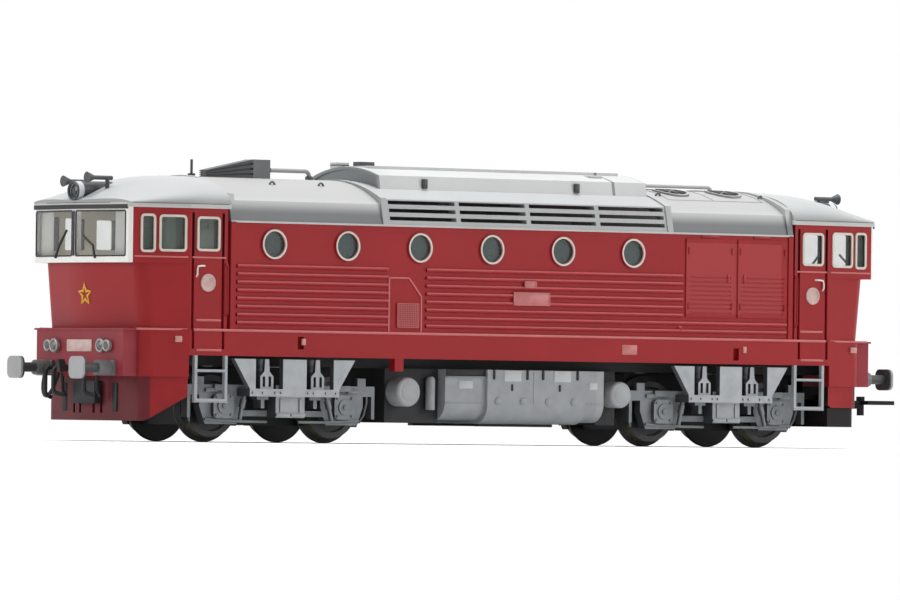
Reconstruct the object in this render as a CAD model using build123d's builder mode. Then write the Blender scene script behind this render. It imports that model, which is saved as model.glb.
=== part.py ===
"""H0 scale model of a four-axle diesel locomotive with two overhanging cabs.

X runs along the locomotive, its front end towards -X, and Z is up. The origin lies
midway between the bogie pivots, on the floor that the wheel flanges stand on.
Both ends are alike, so most end pieces are drawn for the rear, +X, and mirrored.
"""
import os

from build123d import *

os.makedirs("parts", exist_ok=True)

# Running gear
pivot_x = 51.5
wheelbase = 27.6
frame_overhang = 7.6
tread_radius = 5.75
flange_depth = 1.0
back_to_back = 14.4
tyre_width = 2.9
flange_width = 0.75
axle_radius = 1.0
running_clearance = 0.05

# Heights above the floor
sill_bottom = 16.0
sill_height = 4.8
goggle_bottom = 32.9
gutter = 40.8
cab_eave = 43.1
roof_crown = 49.4
skirt_bottom = 3.8
skirt_seam = 12.0
spine_bottom = 14.2

# Widths, measured from the centre line
side_y = 17.2
wall = 1.5
sill_proud = 0.3
shoulder_inset = 1.2
hood_y = 11.0
screen_corner_y = 15.5
nose_corner_y = 15.4

# Places along the locomotive
joint_x = 66.4
taper_x = 75.4
screen_corner_x = 88.0
screen_apex_x = 89.7
nose_corner_x = 84.5
nose_apex_x = 86.7
nose_lean = 1.2
buffer_face_x = 95.75
grille_x0, grille_x1 = -31.5, 37.2
hood_x0, hood_x1 = -28.0, 35.8

# Derived places
half_turn = 180
axle_z = flange_depth + tread_radius
ledge = sill_bottom + sill_height
inner_y = side_y - wall
sill_y = side_y + sill_proud
frame_reach = wheelbase / 2 + frame_overhang
bogie_end_x = pivot_x - frame_reach
shoulder_y = side_y - shoulder_inset


def write(piece, name):
    """Label a finished piece and write it as its own file."""
    piece.label = name
    export_step(piece, f"parts/{name}.step")


def write_ends(piece, name):
    """Write a rear piece and its mirror image at the front end."""
    write(piece, f"{name}_rear")
    write(mirror(piece, about=Plane.YZ), f"{name}_front")


def end_plan(corner_x, apex_x, corner_y, flank_y, start_x, corner_radius, bow_radius):
    """Outline of one end seen from above: straight flanks, a taper and a bowed nose."""
    with BuildSketch() as plan:
        with BuildLine():
            Polyline(
                (start_x, -flank_y),
                (taper_x, -flank_y),
                (corner_x, -corner_y),
                (apex_x, 0),
                (corner_x, corner_y),
                (taper_x, flank_y),
                (start_x, flank_y),
                close=True,
            )
        make_face()
        corners = plan.vertices().group_by(Axis.X)
        fillet(corners[-2], radius=corner_radius)
        fillet(plan.vertices().sort_by(Axis.X)[-1], radius=bow_radius)
    return plan.sketch


def nose_plan(lean, inset):
    """Nose outline at one height: lean moves it forward, inset moves every face inward."""
    return end_plan(
        nose_corner_x + lean - inset,
        nose_apex_x + lean - inset,
        nose_corner_y - inset,
        side_y - inset,
        joint_x,
        nose_corner_radius - max(inset, 0) / 2,
        nose_bow_radius,
    )


def screen_plan(inset):
    """Outline of the overhanging windscreen storey, with inset as for the nose."""
    return end_plan(
        screen_corner_x - inset,
        screen_apex_x - inset,
        screen_corner_y - inset,
        side_y - inset,
        joint_x,
        screen_corner_radius,
        screen_bow_radius,
    )


def roof_profile(eave_z, eave_y, shoulder, crown_z):
    """Roof section across the locomotive: steep flanks to the shoulder, then one arc."""
    shoulder_at_y, shoulder_at_z = shoulder
    with BuildSketch() as profile:
        with BuildLine():
            Line((-eave_y, eave_z), (eave_y, eave_z))
            Line((eave_y, eave_z), (shoulder_at_y, shoulder_at_z))
            ThreePointArc(
                (shoulder_at_y, shoulder_at_z),
                (0, crown_z),
                (-shoulder_at_y, shoulder_at_z),
            )
            Line((-shoulder_at_y, shoulder_at_z), (-eave_y, eave_z))
        make_face()
    return profile.sketch


nose_corner_radius = 3.0
nose_bow_radius = 40.0
screen_corner_radius = 1.0
screen_bow_radius = 1.5
plain_rise, grille_rise = 4.0, 5.0
plain_roof = roof_profile(gutter, side_y, (shoulder_y, gutter + plain_rise), roof_crown)
grille_roof = roof_profile(gutter, side_y, (shoulder_y, gutter + grille_rise), roof_crown)

# Chassis: a die-cast floor between the side walls and a spine that carries the bogies
floor_thickness = 0.9
floor_top = sill_bottom + floor_thickness
spine_y = 10.5
chassis_end_x = 82.0
pivot_pin_radius = 2.5

with BuildPart() as chassis:
    with BuildSketch(Plane.XY.offset(sill_bottom)):
        Rectangle(2 * taper_x, 2 * inner_y)
    extrude(amount=floor_thickness)
    with BuildSketch(Plane.XY.offset(spine_bottom)):
        Rectangle(2 * chassis_end_x, 2 * spine_y)
    extrude(amount=floor_top - spine_bottom)
    with BuildSketch(Plane.XY.offset(spine_bottom)):
        with Locations((-pivot_x, 0), (pivot_x, 0)):
            Circle(pivot_pin_radius + running_clearance)
    extrude(amount=floor_top - spine_bottom, mode=Mode.SUBTRACT)
write(chassis.part, "chassis_frame")

# Motor: one plain block on the floor between the bogies
motor_length, motor_width, motor_height = 46.0, 17.0, 19.0

with BuildPart() as motor:
    with BuildSketch(Plane.XY.offset(floor_top)):
        Rectangle(motor_length, motor_width)
    extrude(amount=motor_height)
write(motor.part, "motor_block")

# Side walls: ribbed panels with six portholes, an equipment hatch and two raised doors
porthole_count = 6
porthole_x0 = -56.5
porthole_pitch = 16.8
porthole_drop = 4.0
porthole_z = gutter - porthole_drop
porthole_hole_radius = 2.45
porthole_ring_radius = 2.9
rib_rows, low_rib_rows, louvre_rows = 8, 2, 9
rib_start = 1.3
rib_z0 = ledge + rib_start
rib_pitch = 1.5
rib_height = 0.7
rib_crest = 0.36
rib_depth = 0.3
panel_depth = 0.25
panel_lift, panel_drop = 4.1, 0.9
panel_z0, panel_z1 = ledge + panel_lift, gutter - panel_drop
mesh_lift, mesh_height = 1.0, 4.6
mesh_z0 = ledge + mesh_lift
post_width = 1.1
post_start = joint_x - post_width
# Ribbed fields by x0, x1 and number of rows
rib_fields = ((-64.9, -30.3, rib_rows), (-21.4, 39.5, rib_rows), (39.5, 64.9, low_rib_rows))
# Raised panels by x0, x1, z0 and z1: two doors, the hatch's mesh and a post at each end
raised_panels = (
    (40.3, 52.0, panel_z0, panel_z1),
    (52.9, 64.9, panel_z0, panel_z1),
    (-28.2, -23.1, mesh_z0, mesh_z0 + mesh_height),
    (-joint_x, -post_start, ledge, gutter),
    (post_start, joint_x, ledge, gutter),
)
# Louvred fields by x0 and x1
louvre_fields = ((41.1, 51.2), (53.7, 64.1))
louvre_start, louvre_pitch, louvre_gap = 0.8, 0.85, 0.25
louvre_depth = 0.12
porthole_spots = [(porthole_x0 + i * porthole_pitch, porthole_z) for i in range(porthole_count)]

with BuildPart() as side:
    with BuildSketch(Plane.XZ.offset(inner_y)):
        with BuildLine():
            Polyline(
                (-joint_x, ledge),
                (joint_x, ledge),
                (joint_x, gutter),
                (-joint_x, gutter),
                close=True,
            )
        make_face()
    extrude(amount=wall)
    for field_x0, field_x1, rows in rib_fields:
        with BuildSketch(Plane.YZ.offset(field_x0)):
            with Locations(*[(-side_y, rib_z0 + row * rib_pitch) for row in range(rows)]):
                Polygon(
                    (0, -rib_height / 2),
                    (0, rib_height / 2),
                    (-rib_depth, rib_crest / 2),
                    (-rib_depth, -rib_crest / 2),
                    align=None,
                )
        extrude(amount=field_x1 - field_x0)
    with BuildSketch(Plane.XZ.offset(side_y)):
        for panel_x0, panel_x1, z0, z1 in raised_panels:
            with Locations(((panel_x0 + panel_x1) / 2, (z0 + z1) / 2)):
                Rectangle(panel_x1 - panel_x0, z1 - z0)
    extrude(amount=panel_depth)
    with BuildSketch(Plane.XZ.offset(side_y + panel_depth)):
        for louvre_x0, louvre_x1 in louvre_fields:
            louvre_middle = (louvre_x0 + louvre_x1) / 2
            louvre_rise = [panel_z0 + louvre_start + row * louvre_pitch for row in range(louvre_rows)]
            with Locations(*[(louvre_middle, z) for z in louvre_rise]):
                Rectangle(louvre_x1 - louvre_x0, louvre_gap)
    extrude(amount=-louvre_depth, mode=Mode.SUBTRACT)
    with BuildSketch(Plane.XZ.offset(inner_y)):
        with Locations(*porthole_spots):
            Circle(porthole_hole_radius)
    extrude(amount=wall, mode=Mode.SUBTRACT)
write(side.part, "side_wall_near")
write(mirror(side.part, about=Plane.XZ), "side_wall_far")

# Porthole rings and panes, one of each at every hole
ring_proud = 0.35
pane_recess = 0.35
pane_thickness = 0.6
pane_gap = 0.03

with BuildPart() as rings:
    with BuildSketch(Plane.XZ.offset(side_y)):
        with Locations(*porthole_spots):
            Circle(porthole_ring_radius)
            Circle(porthole_hole_radius - pane_gap, mode=Mode.SUBTRACT)
    extrude(amount=ring_proud)
    mirror(about=Plane.XZ)
write(rings.part, "porthole_rings")

with BuildPart() as panes:
    with BuildSketch(Plane.XZ.offset(side_y - pane_recess - pane_thickness)):
        with Locations(*porthole_spots):
            Circle(porthole_hole_radius - pane_gap)
    extrude(amount=pane_thickness)
    mirror(about=Plane.XZ)
write(panes.part, "porthole_glass")

# Sills: the heavy longitudinal bands under the side walls, with jacking recesses
# Jacking recesses by x and height over the sill's lower edge
sill_recesses = ((-50.3, 2.6), (52.6, 1.9))
sill_recess_width, sill_recess_height, sill_recess_depth = 1.4, 2.3, 0.9
sill_bracket_x, sill_bracket_width, sill_bracket_drop = -27.6, 2.0, 2.4

with BuildPart() as sill:
    with BuildSketch(Plane.XZ.offset(inner_y)):
        with Locations((0, (sill_bottom + ledge) / 2)):
            Rectangle(2 * joint_x, ledge - sill_bottom)
        with Locations((sill_bracket_x, sill_bottom - sill_bracket_drop / 2)):
            Rectangle(sill_bracket_width, sill_bracket_drop)
    extrude(amount=sill_y - inner_y)
    with BuildSketch(Plane.XZ.offset(sill_y)):
        with Locations(*[(x, sill_bottom + lift) for x, lift in sill_recesses]):
            Rectangle(sill_recess_width, sill_recess_height)
    extrude(amount=-sill_recess_depth, mode=Mode.SUBTRACT)
write(sill.part, "sill_near")
write(mirror(sill.part, about=Plane.XZ), "sill_far")

# Cab shells: a sill band, a leaning nose and the side walls of the windscreen storey
cab_wall = 1.3
door_x0, door_x1 = 68.0, 74.8
door_lift, door_drop = 1.2, 0.8
door_z0, door_z1 = sill_bottom + door_lift, cab_eave - door_drop
groove_width, groove_depth = 0.6, 0.6
frame_radius = 0.4
frame_width = 0.42
skirt_rear_x = 75.6
# Side windows by x0, x1, z0 and z1
door_window = (68.8, 74.0, 35.2, 41.6)
taper_windows = ((76.2, 81.9, 35.0, 41.8), (82.6, 85.7, 34.8, 41.9))
frame_rear_x = 87.2
taper_run = screen_corner_x - taper_x
taper_fall = side_y - screen_corner_y
taper_normal = Vector(taper_fall, -taper_run, 0).normalized()
taper_stretch = (1 + (taper_fall / taper_run) ** 2) ** 0.5
taper_plane = Plane(origin=(taper_x, -side_y, 0), x_dir=(taper_run, taper_fall, 0), z_dir=taper_normal)
door_plane = Plane.XZ.offset(side_y)


def window_table():
    """Each side window as its wall plane, centre and size in that plane."""
    rows = [(door_plane, door_window, 0.0, 1.0)]
    rows += [(taper_plane, window, taper_x, taper_stretch) for window in taper_windows]
    table = []
    for plane, (x0, x1, z0, z1), shift, stretch in rows:
        middle = ((x0 + x1) / 2 - shift) * stretch
        table.append((plane, (middle, (z0 + z1) / 2), ((x1 - x0) * stretch, z1 - z0)))
    return table


with BuildPart() as cab:
    with BuildSketch(Plane.XY.offset(sill_bottom)):
        add(nose_plan(0, -sill_proud))
    extrude(amount=ledge - sill_bottom)
    with BuildSketch(Plane.XY.offset(ledge)):
        add(nose_plan(0, 0))
    with BuildSketch(Plane.XY.offset(goggle_bottom)):
        add(nose_plan(nose_lean, 0))
    loft(ruled=True)
    with BuildSketch(Plane.XY.offset(goggle_bottom)):
        add(screen_plan(0))
    extrude(amount=cab_eave - goggle_bottom)
    with BuildSketch(Plane.XY.offset(sill_bottom)):
        add(nose_plan(0, cab_wall))
    with BuildSketch(Plane.XY.offset(goggle_bottom)):
        add(nose_plan(0, cab_wall))
    loft(ruled=True, mode=Mode.SUBTRACT)
    with BuildSketch(Plane.XY.offset(goggle_bottom)):
        add(screen_plan(cab_wall))
    extrude(amount=cab_eave - goggle_bottom, mode=Mode.SUBTRACT)
    with BuildSketch(Plane.XY.offset(goggle_bottom)):
        with Locations((frame_rear_x, 0)):
            Rectangle(2 * (screen_apex_x - frame_rear_x), 2 * side_y, align=(Align.MIN, Align.CENTER))
    extrude(amount=cab_eave - goggle_bottom, mode=Mode.SUBTRACT)
    with BuildSketch(Plane.XY.offset(skirt_seam)):
        add(nose_plan(0, -sill_proud))
        add(nose_plan(0, cab_wall), mode=Mode.SUBTRACT)
        with Locations((skirt_rear_x, 0)):
            Rectangle(2 * skirt_rear_x, 4 * side_y, align=(Align.MAX, Align.CENTER), mode=Mode.SUBTRACT)
    extrude(amount=sill_bottom - skirt_seam)
    with BuildSketch(door_plane):
        with Locations(*[(x, (ledge + door_z1) / 2) for x in (door_x0, door_x1)]):
            Rectangle(groove_width, door_z1 - ledge)
        with Locations((joint_x, (ledge + cab_eave) / 2)):
            Rectangle(2 * groove_width, cab_eave - ledge)
    extrude(amount=-groove_depth, mode=Mode.SUBTRACT)
    with BuildSketch(Plane.XZ.offset(sill_y)):
        with Locations(*[(x, (door_z0 + ledge) / 2) for x in (door_x0, door_x1)]):
            Rectangle(groove_width, ledge - door_z0)
    extrude(amount=-groove_depth, mode=Mode.SUBTRACT)
    for window_plane, middle, size in window_table():
        with BuildSketch(window_plane):
            with Locations(middle):
                RectangleRounded(size[0] - 2 * frame_width, size[1] - 2 * frame_width, frame_radius)
        extrude(amount=-2 * cab_wall, mode=Mode.SUBTRACT)
    split(bisect_by=Plane.XZ, keep=Keep.TOP)
    mirror(about=Plane.XZ)
write_ends(cab.part, "cab_shell")

# Side window frames and panes of each cab
side_frame_proud = 0.25

with BuildPart() as frames:
    for window_plane, middle, size in window_table():
        with BuildSketch(window_plane):
            with Locations(middle):
                RectangleRounded(*size, frame_radius + frame_width)
                RectangleRounded(
                    size[0] - 2 * frame_width - 2 * pane_gap,
                    size[1] - 2 * frame_width - 2 * pane_gap,
                    frame_radius - pane_gap,
                    mode=Mode.SUBTRACT,
                )
        extrude(amount=side_frame_proud)
    mirror(about=Plane.XZ)
write_ends(frames.part, "cab_window_frames")

with BuildPart() as cab_panes:
    for window_plane, middle, size in window_table():
        with BuildSketch(window_plane.offset(-pane_recess)):
            with Locations(middle):
                RectangleRounded(
                    size[0] - 2 * frame_width - 2 * pane_gap,
                    size[1] - 2 * frame_width - 2 * pane_gap,
                    frame_radius - pane_gap,
                )
        extrude(amount=-pane_thickness)
    mirror(about=Plane.XZ)
write_ends(cab_panes.part, "cab_side_glass")

# Windscreens: a V-shaped white frame with two panes, overhanging the nose
screen_margin_low, screen_margin_top = 1.1, 0.6
screen_post, screen_side_margin = 0.9, 0.9
screen_radius = 0.4
screen_z0 = goggle_bottom + screen_margin_low
screen_z1 = cab_eave - screen_margin_top
screen_open_width = screen_corner_y - screen_side_margin - screen_post / 2
screen_open_y = screen_post / 2 + screen_open_width / 2

with BuildPart() as screen:
    with BuildSketch(Plane.XY.offset(goggle_bottom)):
        add(screen_plan(0))
        add(screen_plan(cab_wall), mode=Mode.SUBTRACT)
        with Locations((frame_rear_x, 0)):
            Rectangle(2 * frame_rear_x, 4 * side_y, align=(Align.MAX, Align.CENTER), mode=Mode.SUBTRACT)
    extrude(amount=cab_eave - goggle_bottom)
    with BuildSketch(Plane.YZ.offset(frame_rear_x)):
        with Locations(*[(s * screen_open_y, (screen_z0 + screen_z1) / 2) for s in (-1, 1)]):
            RectangleRounded(screen_open_width, screen_z1 - screen_z0, screen_radius)
    extrude(amount=2 * (screen_apex_x - frame_rear_x), mode=Mode.SUBTRACT)
write_ends(screen.part, "windscreen_frame")

glass_inset = 0.3
glass_thickness = 0.45

with BuildPart() as screen_glass:
    with BuildSketch(Plane.YZ.offset(frame_rear_x)):
        with Locations(*[(s * screen_open_y, (screen_z0 + screen_z1) / 2) for s in (-1, 1)]):
            RectangleRounded(
                screen_open_width - 2 * pane_gap,
                screen_z1 - screen_z0 - 2 * pane_gap,
                screen_radius - pane_gap,
            )
    extrude(amount=2 * (screen_apex_x - frame_rear_x))
    with BuildSketch(Plane.XY.offset(goggle_bottom)):
        add(screen_plan(glass_inset))
        add(screen_plan(glass_inset + glass_thickness), mode=Mode.SUBTRACT)
    extrude(amount=cab_eave - goggle_bottom, mode=Mode.INTERSECT)
write_ends(screen_glass.part, "windscreen_glass")

# Cab interiors: floor, rear bulkhead, driver's desk and two seats in one moulding
interior_gap = 0.2
cab_floor_z = 24.0
cab_floor_thickness = 1.0
bulkhead_thickness = 1.0
bulkhead_top = cab_eave - interior_gap
desk_x0, desk_x1 = 79.2, 82.4
desk_rise, desk_slope, desk_edge, desk_knee = 8.6, 0.8, 1.0, 1.5
desk_y = 12.5
interior_y = nose_corner_y - cab_wall - 2 * interior_gap
interior_x0 = joint_x + interior_gap
seat_size = (3.6, 4.4, 1.2)
seat_rise = 4.5
seat_post_radius = 0.7
seat_back_height, seat_back_thickness = 6.0, 0.8
# Seats by x and y
seats = ((73.5, -6.5), (73.5, 6.5))
desk_z = cab_floor_z + desk_rise

with BuildPart() as interior:
    with BuildSketch(Plane.XY.offset(cab_floor_z)):
        with Locations((interior_x0, 0)):
            Rectangle(desk_x1 - interior_x0, 2 * interior_y, align=(Align.MIN, Align.CENTER))
    extrude(amount=-cab_floor_thickness)
    with BuildSketch(Plane.XY.offset(floor_top)):
        with Locations((interior_x0, 0)):
            Rectangle(bulkhead_thickness, 2 * interior_y, align=(Align.MIN, Align.CENTER))
    extrude(amount=bulkhead_top - floor_top)
    with BuildSketch(Plane.XZ.offset(-desk_y)):
        Polygon(
            (desk_x1, cab_floor_z),
            (desk_x1, desk_z),
            (desk_x0, desk_z - desk_slope),
            (desk_x0, desk_z - desk_slope - desk_edge),
            (desk_x0 + desk_knee, desk_z - 2 * desk_slope - desk_edge),
            (desk_x0 + desk_knee, cab_floor_z),
            align=None,
        )
    extrude(amount=2 * desk_y)
    for seat_x, seat_y in seats:
        with Locations((seat_x, seat_y, cab_floor_z)):
            Cylinder(seat_post_radius, seat_rise, align=(Align.CENTER, Align.CENTER, Align.MIN))
        with Locations((seat_x, seat_y, cab_floor_z + seat_rise)):
            Box(*seat_size)
        with Locations((seat_x - seat_size[0] / 2, seat_y, cab_floor_z + seat_rise)):
            Box(
                seat_back_thickness,
                seat_size[1],
                seat_back_height,
                align=(Align.MIN, Align.CENTER, Align.MIN),
            )
write_ends(interior.part, "cab_interior")

# Cab roofs: solid domes on a narrow fascia, falling towards the windscreen
fascia_height, fascia_proud = 0.8, 0.2
dome_foot = cab_eave + fascia_height
dome_rise = roof_crown - dome_foot
# Dome sections by x and by share of the full rise
dome_sections = ((66.4, 1.0), (72.0, 0.99), (78.0, 0.865), (83.0, 0.61), (87.0, 0.32), (90.2, 0.05))

with BuildPart() as cab_roof:
    for section_x, share in dome_sections:
        section_y = side_y + fascia_proud - taper_fall * max(0, section_x - taper_x) / taper_run
        with BuildSketch(Plane.YZ.offset(section_x)):
            with BuildLine():
                EllipticalCenterArc((0, dome_foot), section_y, share * dome_rise, arc_size=half_turn)
                Line((-section_y, dome_foot), (section_y, dome_foot))
            make_face()
    loft()
    with BuildSketch(Plane.XY.offset(dome_foot)):
        add(screen_plan(-fascia_proud))
    extrude(amount=2 * dome_rise, mode=Mode.INTERSECT)
    with BuildSketch(Plane.XY.offset(cab_eave)):
        add(screen_plan(-fascia_proud))
    extrude(amount=fascia_height)
write_ends(cab_roof.part, "cab_roof")

# Main roof in three lengths, hollow, with raised bands at the joints and intake slots
roof_wall = 1.3
band_width = 1.3
band_proud = 0.22
inner_shoulder = (shoulder_y - roof_wall, gutter + plain_rise - roof_wall)
inner_roof = roof_profile(gutter, inner_y, inner_shoulder, roof_crown - roof_wall)
band_shoulder = (shoulder_y + band_proud, gutter + grille_rise + band_proud)
band_roof = roof_profile(gutter, side_y + band_proud, band_shoulder, roof_crown + band_proud)
slot_rows = 3
slot_bays = 4
slot_height = 0.7
slot_pitch = 1.5
slot_rise = 1.4
mullion = 1.0
slot_bay = (grille_x1 - grille_x0 - 2 * band_width) / slot_bays
# Roof lengths by name, x0, x1, outline and the starts of their bands
roof_lengths = (
    ("roof_front", -joint_x, grille_x0, plain_roof, (-joint_x,)),
    ("roof_middle", grille_x0, grille_x1, grille_roof, (grille_x0, grille_x1 - band_width)),
    ("roof_rear", grille_x1, joint_x, plain_roof, (joint_x - band_width,)),
)

for roof_name, roof_x0, roof_x1, outline, bands in roof_lengths:
    with BuildPart() as roof:
        with BuildSketch(Plane.YZ.offset(roof_x0)):
            add(outline)
        extrude(amount=roof_x1 - roof_x0)
        for band_x in bands:
            with BuildSketch(Plane.YZ.offset(band_x)):
                add(band_roof)
            extrude(amount=band_width)
        with BuildSketch(Plane.YZ.offset(roof_x0)):
            add(inner_roof)
        extrude(amount=roof_x1 - roof_x0, mode=Mode.SUBTRACT)
        if roof_name == "roof_middle":
            slot_spots = [
                (grille_x0 + band_width + (bay + 0.5) * slot_bay, gutter + slot_rise + row * slot_pitch)
                for bay in range(slot_bays)
                for row in range(slot_rows)
            ]
            with BuildSketch(Plane.XZ):
                with Locations(*slot_spots):
                    Rectangle(slot_bay - mullion, slot_height)
            extrude(amount=2 * side_y, both=True, mode=Mode.SUBTRACT)
    write(roof.part, roof_name)

# Raised hood over the engine: an arched cover with a long lid and two vents on its top
hood_rise, hood_eave_rise, hood_lean = 2.7, 1.0, 0.8
hood_sink = 3.4
hood_crown = roof_crown + hood_rise
hood_shoulder = (hood_y - hood_lean, roof_crown + hood_eave_rise)
hood_profile = roof_profile(roof_crown - hood_sink, hood_y, hood_shoulder, hood_crown)
arch_rim, arch_depth = 0.5, 0.4
arch_shoulder = (hood_shoulder[0] - arch_rim, hood_shoulder[1] - arch_rim)
arch_profile = roof_profile(roof_crown - hood_sink, hood_y - arch_rim, arch_shoulder, hood_crown - arch_rim)
lid_y, lid_proud = 4.6, 0.2
lid_margin = 2.4
# Vents by x, y and length
hood_vents = ((-25.6, 5.0, 2.8), (-23.6, 0.0, 3.2))
vent_width, vent_height = 2.2, 0.9

with BuildPart() as hood:
    with BuildSketch(Plane.YZ.offset(hood_x0)):
        add(hood_profile)
    extrude(amount=hood_x1 - hood_x0)
    with Locations(((hood_x0 + hood_x1) / 2, 0, hood_crown + lid_proud)):
        Box(
            hood_x1 - hood_x0 - 2 * lid_margin,
            2 * lid_y,
            hood_rise,
            align=(Align.CENTER, Align.CENTER, Align.MAX),
        )
    for vent_x, vent_y, vent_length in hood_vents:
        with Locations((vent_x, vent_y, hood_crown + vent_height)):
            Box(vent_length, vent_width, hood_rise, align=(Align.CENTER, Align.CENTER, Align.MAX))
    with BuildSketch(Plane.YZ.offset(hood_x0)):
        add(arch_profile)
    extrude(amount=arch_depth, mode=Mode.SUBTRACT)
    with BuildSketch(Plane.YZ.offset(hood_x0)):
        add(grille_roof)
    extrude(amount=hood_x1 - hood_x0, mode=Mode.SUBTRACT)
    with BuildSketch(Plane.YZ.offset(grille_x1 - band_width)):
        add(band_roof)
    extrude(amount=band_width, mode=Mode.SUBTRACT)
write(hood.part, "roof_hood")

# Exhaust silencer: a wedge of slats that rises to a square box, with a pipe behind it
silencer_x0, silencer_x1, silencer_x2 = -60.6, -50.1, -46.2
silencer_y, slat_core_y = 1.3, 0.9
silencer_low_rise, silencer_top_rise = 1.3, 3.5
slat_count = 4
slat_share = 0.6
exhaust_pipe_radius = 0.4
exhaust_pipe_rise = 1.6
exhaust_pipe_end = -36.3
roof_sink = 1.0
pipe_bend = 1.0

with BuildPart() as silencer:
    with BuildSketch(Plane.XZ.offset(-slat_core_y)):
        Polygon(
            (silencer_x0, roof_crown - roof_sink),
            (silencer_x1, roof_crown - roof_sink),
            (silencer_x1, roof_crown + silencer_top_rise),
            (silencer_x0, roof_crown + silencer_low_rise),
            align=None,
        )
    extrude(amount=2 * slat_core_y)
    with BuildSketch(Plane.XZ.offset(-silencer_y)):
        for slat in range(slat_count):
            slat_low = slat / (slat_count - 1 + slat_share)
            slat_high = (slat + slat_share) / (slat_count - 1 + slat_share)
            Polygon(
                (silencer_x0, roof_crown + slat_low * silencer_low_rise),
                (silencer_x1, roof_crown + slat_low * silencer_top_rise),
                (silencer_x1, roof_crown + slat_high * silencer_top_rise),
                (silencer_x0, roof_crown + slat_high * silencer_low_rise),
                align=None,
            )
    extrude(amount=2 * silencer_y)
    with BuildSketch(Plane.XZ.offset(-silencer_y)):
        Polygon(
            (silencer_x1, roof_crown - roof_sink),
            (silencer_x2, roof_crown - roof_sink),
            (silencer_x2, roof_crown + silencer_top_rise),
            (silencer_x1, roof_crown + silencer_top_rise),
            align=None,
        )
    extrude(amount=2 * silencer_y)
    with BuildLine() as pipe_path:
        FilletPolyline(
            (silencer_x2, 0, roof_crown + exhaust_pipe_rise),
            (exhaust_pipe_end, 0, roof_crown + exhaust_pipe_rise),
            (exhaust_pipe_end, 0, roof_crown - roof_sink),
            radius=pipe_bend,
        )
    with BuildSketch(Plane(origin=pipe_path.line @ 0, z_dir=pipe_path.line % 0)):
        Circle(exhaust_pipe_radius)
    sweep(path=pipe_path.line)
    with BuildSketch(Plane.YZ.offset(-joint_x)):
        add(plain_roof)
    extrude(amount=joint_x + grille_x0, mode=Mode.SUBTRACT)
write(silencer.part, "exhaust_silencer")

# Roof fans: round guards with crossed bars that lie on the roof over the coolers
# Fans by x and y
fans = ((45.6, -5.4), (45.6, 5.4), (58.4, -5.4), (58.4, 5.4))
fan_radius, fan_rim = 3.6, 0.5
guard_bars = 4
guard_bar = 0.45
fan_disc_proud, fan_rim_proud = 0.12, 0.35
disc_shoulder = (shoulder_y + fan_disc_proud, gutter + plain_rise + fan_disc_proud)
disc_roof = roof_profile(gutter, side_y + fan_disc_proud, disc_shoulder, roof_crown + fan_disc_proud)
rim_shoulder = (shoulder_y + fan_rim_proud, gutter + plain_rise + fan_rim_proud)
rim_roof = roof_profile(gutter, side_y + fan_rim_proud, rim_shoulder, roof_crown + fan_rim_proud)

with BuildPart() as fan_discs:
    with BuildSketch(Plane.XY.offset(gutter)):
        with Locations(*fans):
            Circle(fan_radius)
    extrude(amount=2 * (roof_crown - gutter))
    with BuildSketch(Plane.YZ.offset(grille_x1)):
        add(disc_roof)
    extrude(amount=joint_x - grille_x1, mode=Mode.INTERSECT)

with BuildPart() as fan_guards:
    with BuildSketch(Plane.XY.offset(gutter)):
        with Locations(*fans):
            Circle(fan_radius)
            Circle(fan_radius - fan_rim, mode=Mode.SUBTRACT)
            for bar in range(guard_bars):
                Rectangle(2 * fan_radius - fan_rim, guard_bar, rotation=half_turn * bar / guard_bars)
    extrude(amount=2 * (roof_crown - gutter))
    with BuildSketch(Plane.YZ.offset(grille_x1)):
        add(rim_roof)
    extrude(amount=joint_x - grille_x1, mode=Mode.INTERSECT)
    add(fan_discs.part)
    with BuildSketch(Plane.YZ.offset(grille_x1)):
        add(plain_roof)
    extrude(amount=joint_x - grille_x1, mode=Mode.SUBTRACT)
write(fan_guards.part, "roof_fans")

# Roof pipe behind the hood and the aerial over the front cab joint
roof_pipe_end = 61.6
roof_pipe_y = 2.4
roof_pipe_rise = 0.9
roof_pipe_radius = 0.35

with BuildPart() as roof_pipe:
    with BuildLine() as roof_path:
        FilletPolyline(
            (hood_x1, roof_pipe_y, roof_crown + roof_pipe_rise),
            (roof_pipe_end, roof_pipe_y, roof_crown + roof_pipe_rise),
            (roof_pipe_end, roof_pipe_y, roof_crown - roof_sink),
            radius=pipe_bend,
        )
    with BuildSketch(Plane(origin=roof_path.line @ 0, z_dir=roof_path.line % 0)):
        Circle(roof_pipe_radius)
    sweep(path=roof_path.line)
    with BuildSketch(Plane.YZ.offset(grille_x1)):
        add(plain_roof)
    extrude(amount=joint_x - grille_x1, mode=Mode.SUBTRACT)
write(roof_pipe.part, "roof_pipe")

aerial_x = -63.3
aerial_radius = 0.25
aerial_foot_radius, aerial_foot_height = 0.7, 0.6
aerial_height = 3.2

with BuildPart() as aerial:
    with Locations((aerial_x, 0, roof_crown - aerial_foot_height)):
        Cylinder(aerial_foot_radius, 2 * aerial_foot_height, align=(Align.CENTER, Align.CENTER, Align.MIN))
        Cylinder(
            aerial_radius,
            aerial_foot_height + aerial_height,
            align=(Align.CENTER, Align.CENTER, Align.MIN),
        )
    with BuildSketch(Plane.YZ.offset(-joint_x)):
        add(plain_roof)
    extrude(amount=joint_x + grille_x0, mode=Mode.SUBTRACT)
write(aerial.part, "aerial")

# Top lamps: a round lamp with a fairing on the dome of each cab roof
lamp_face_x = 89.9
lamp_z = 46.1
lamp_radius = 1.8
lamp_ring = 0.45
fairing_tail_x, fairing_tail_rise, fairing_tail_radius = 81.5, 0.8, 1.1

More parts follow.
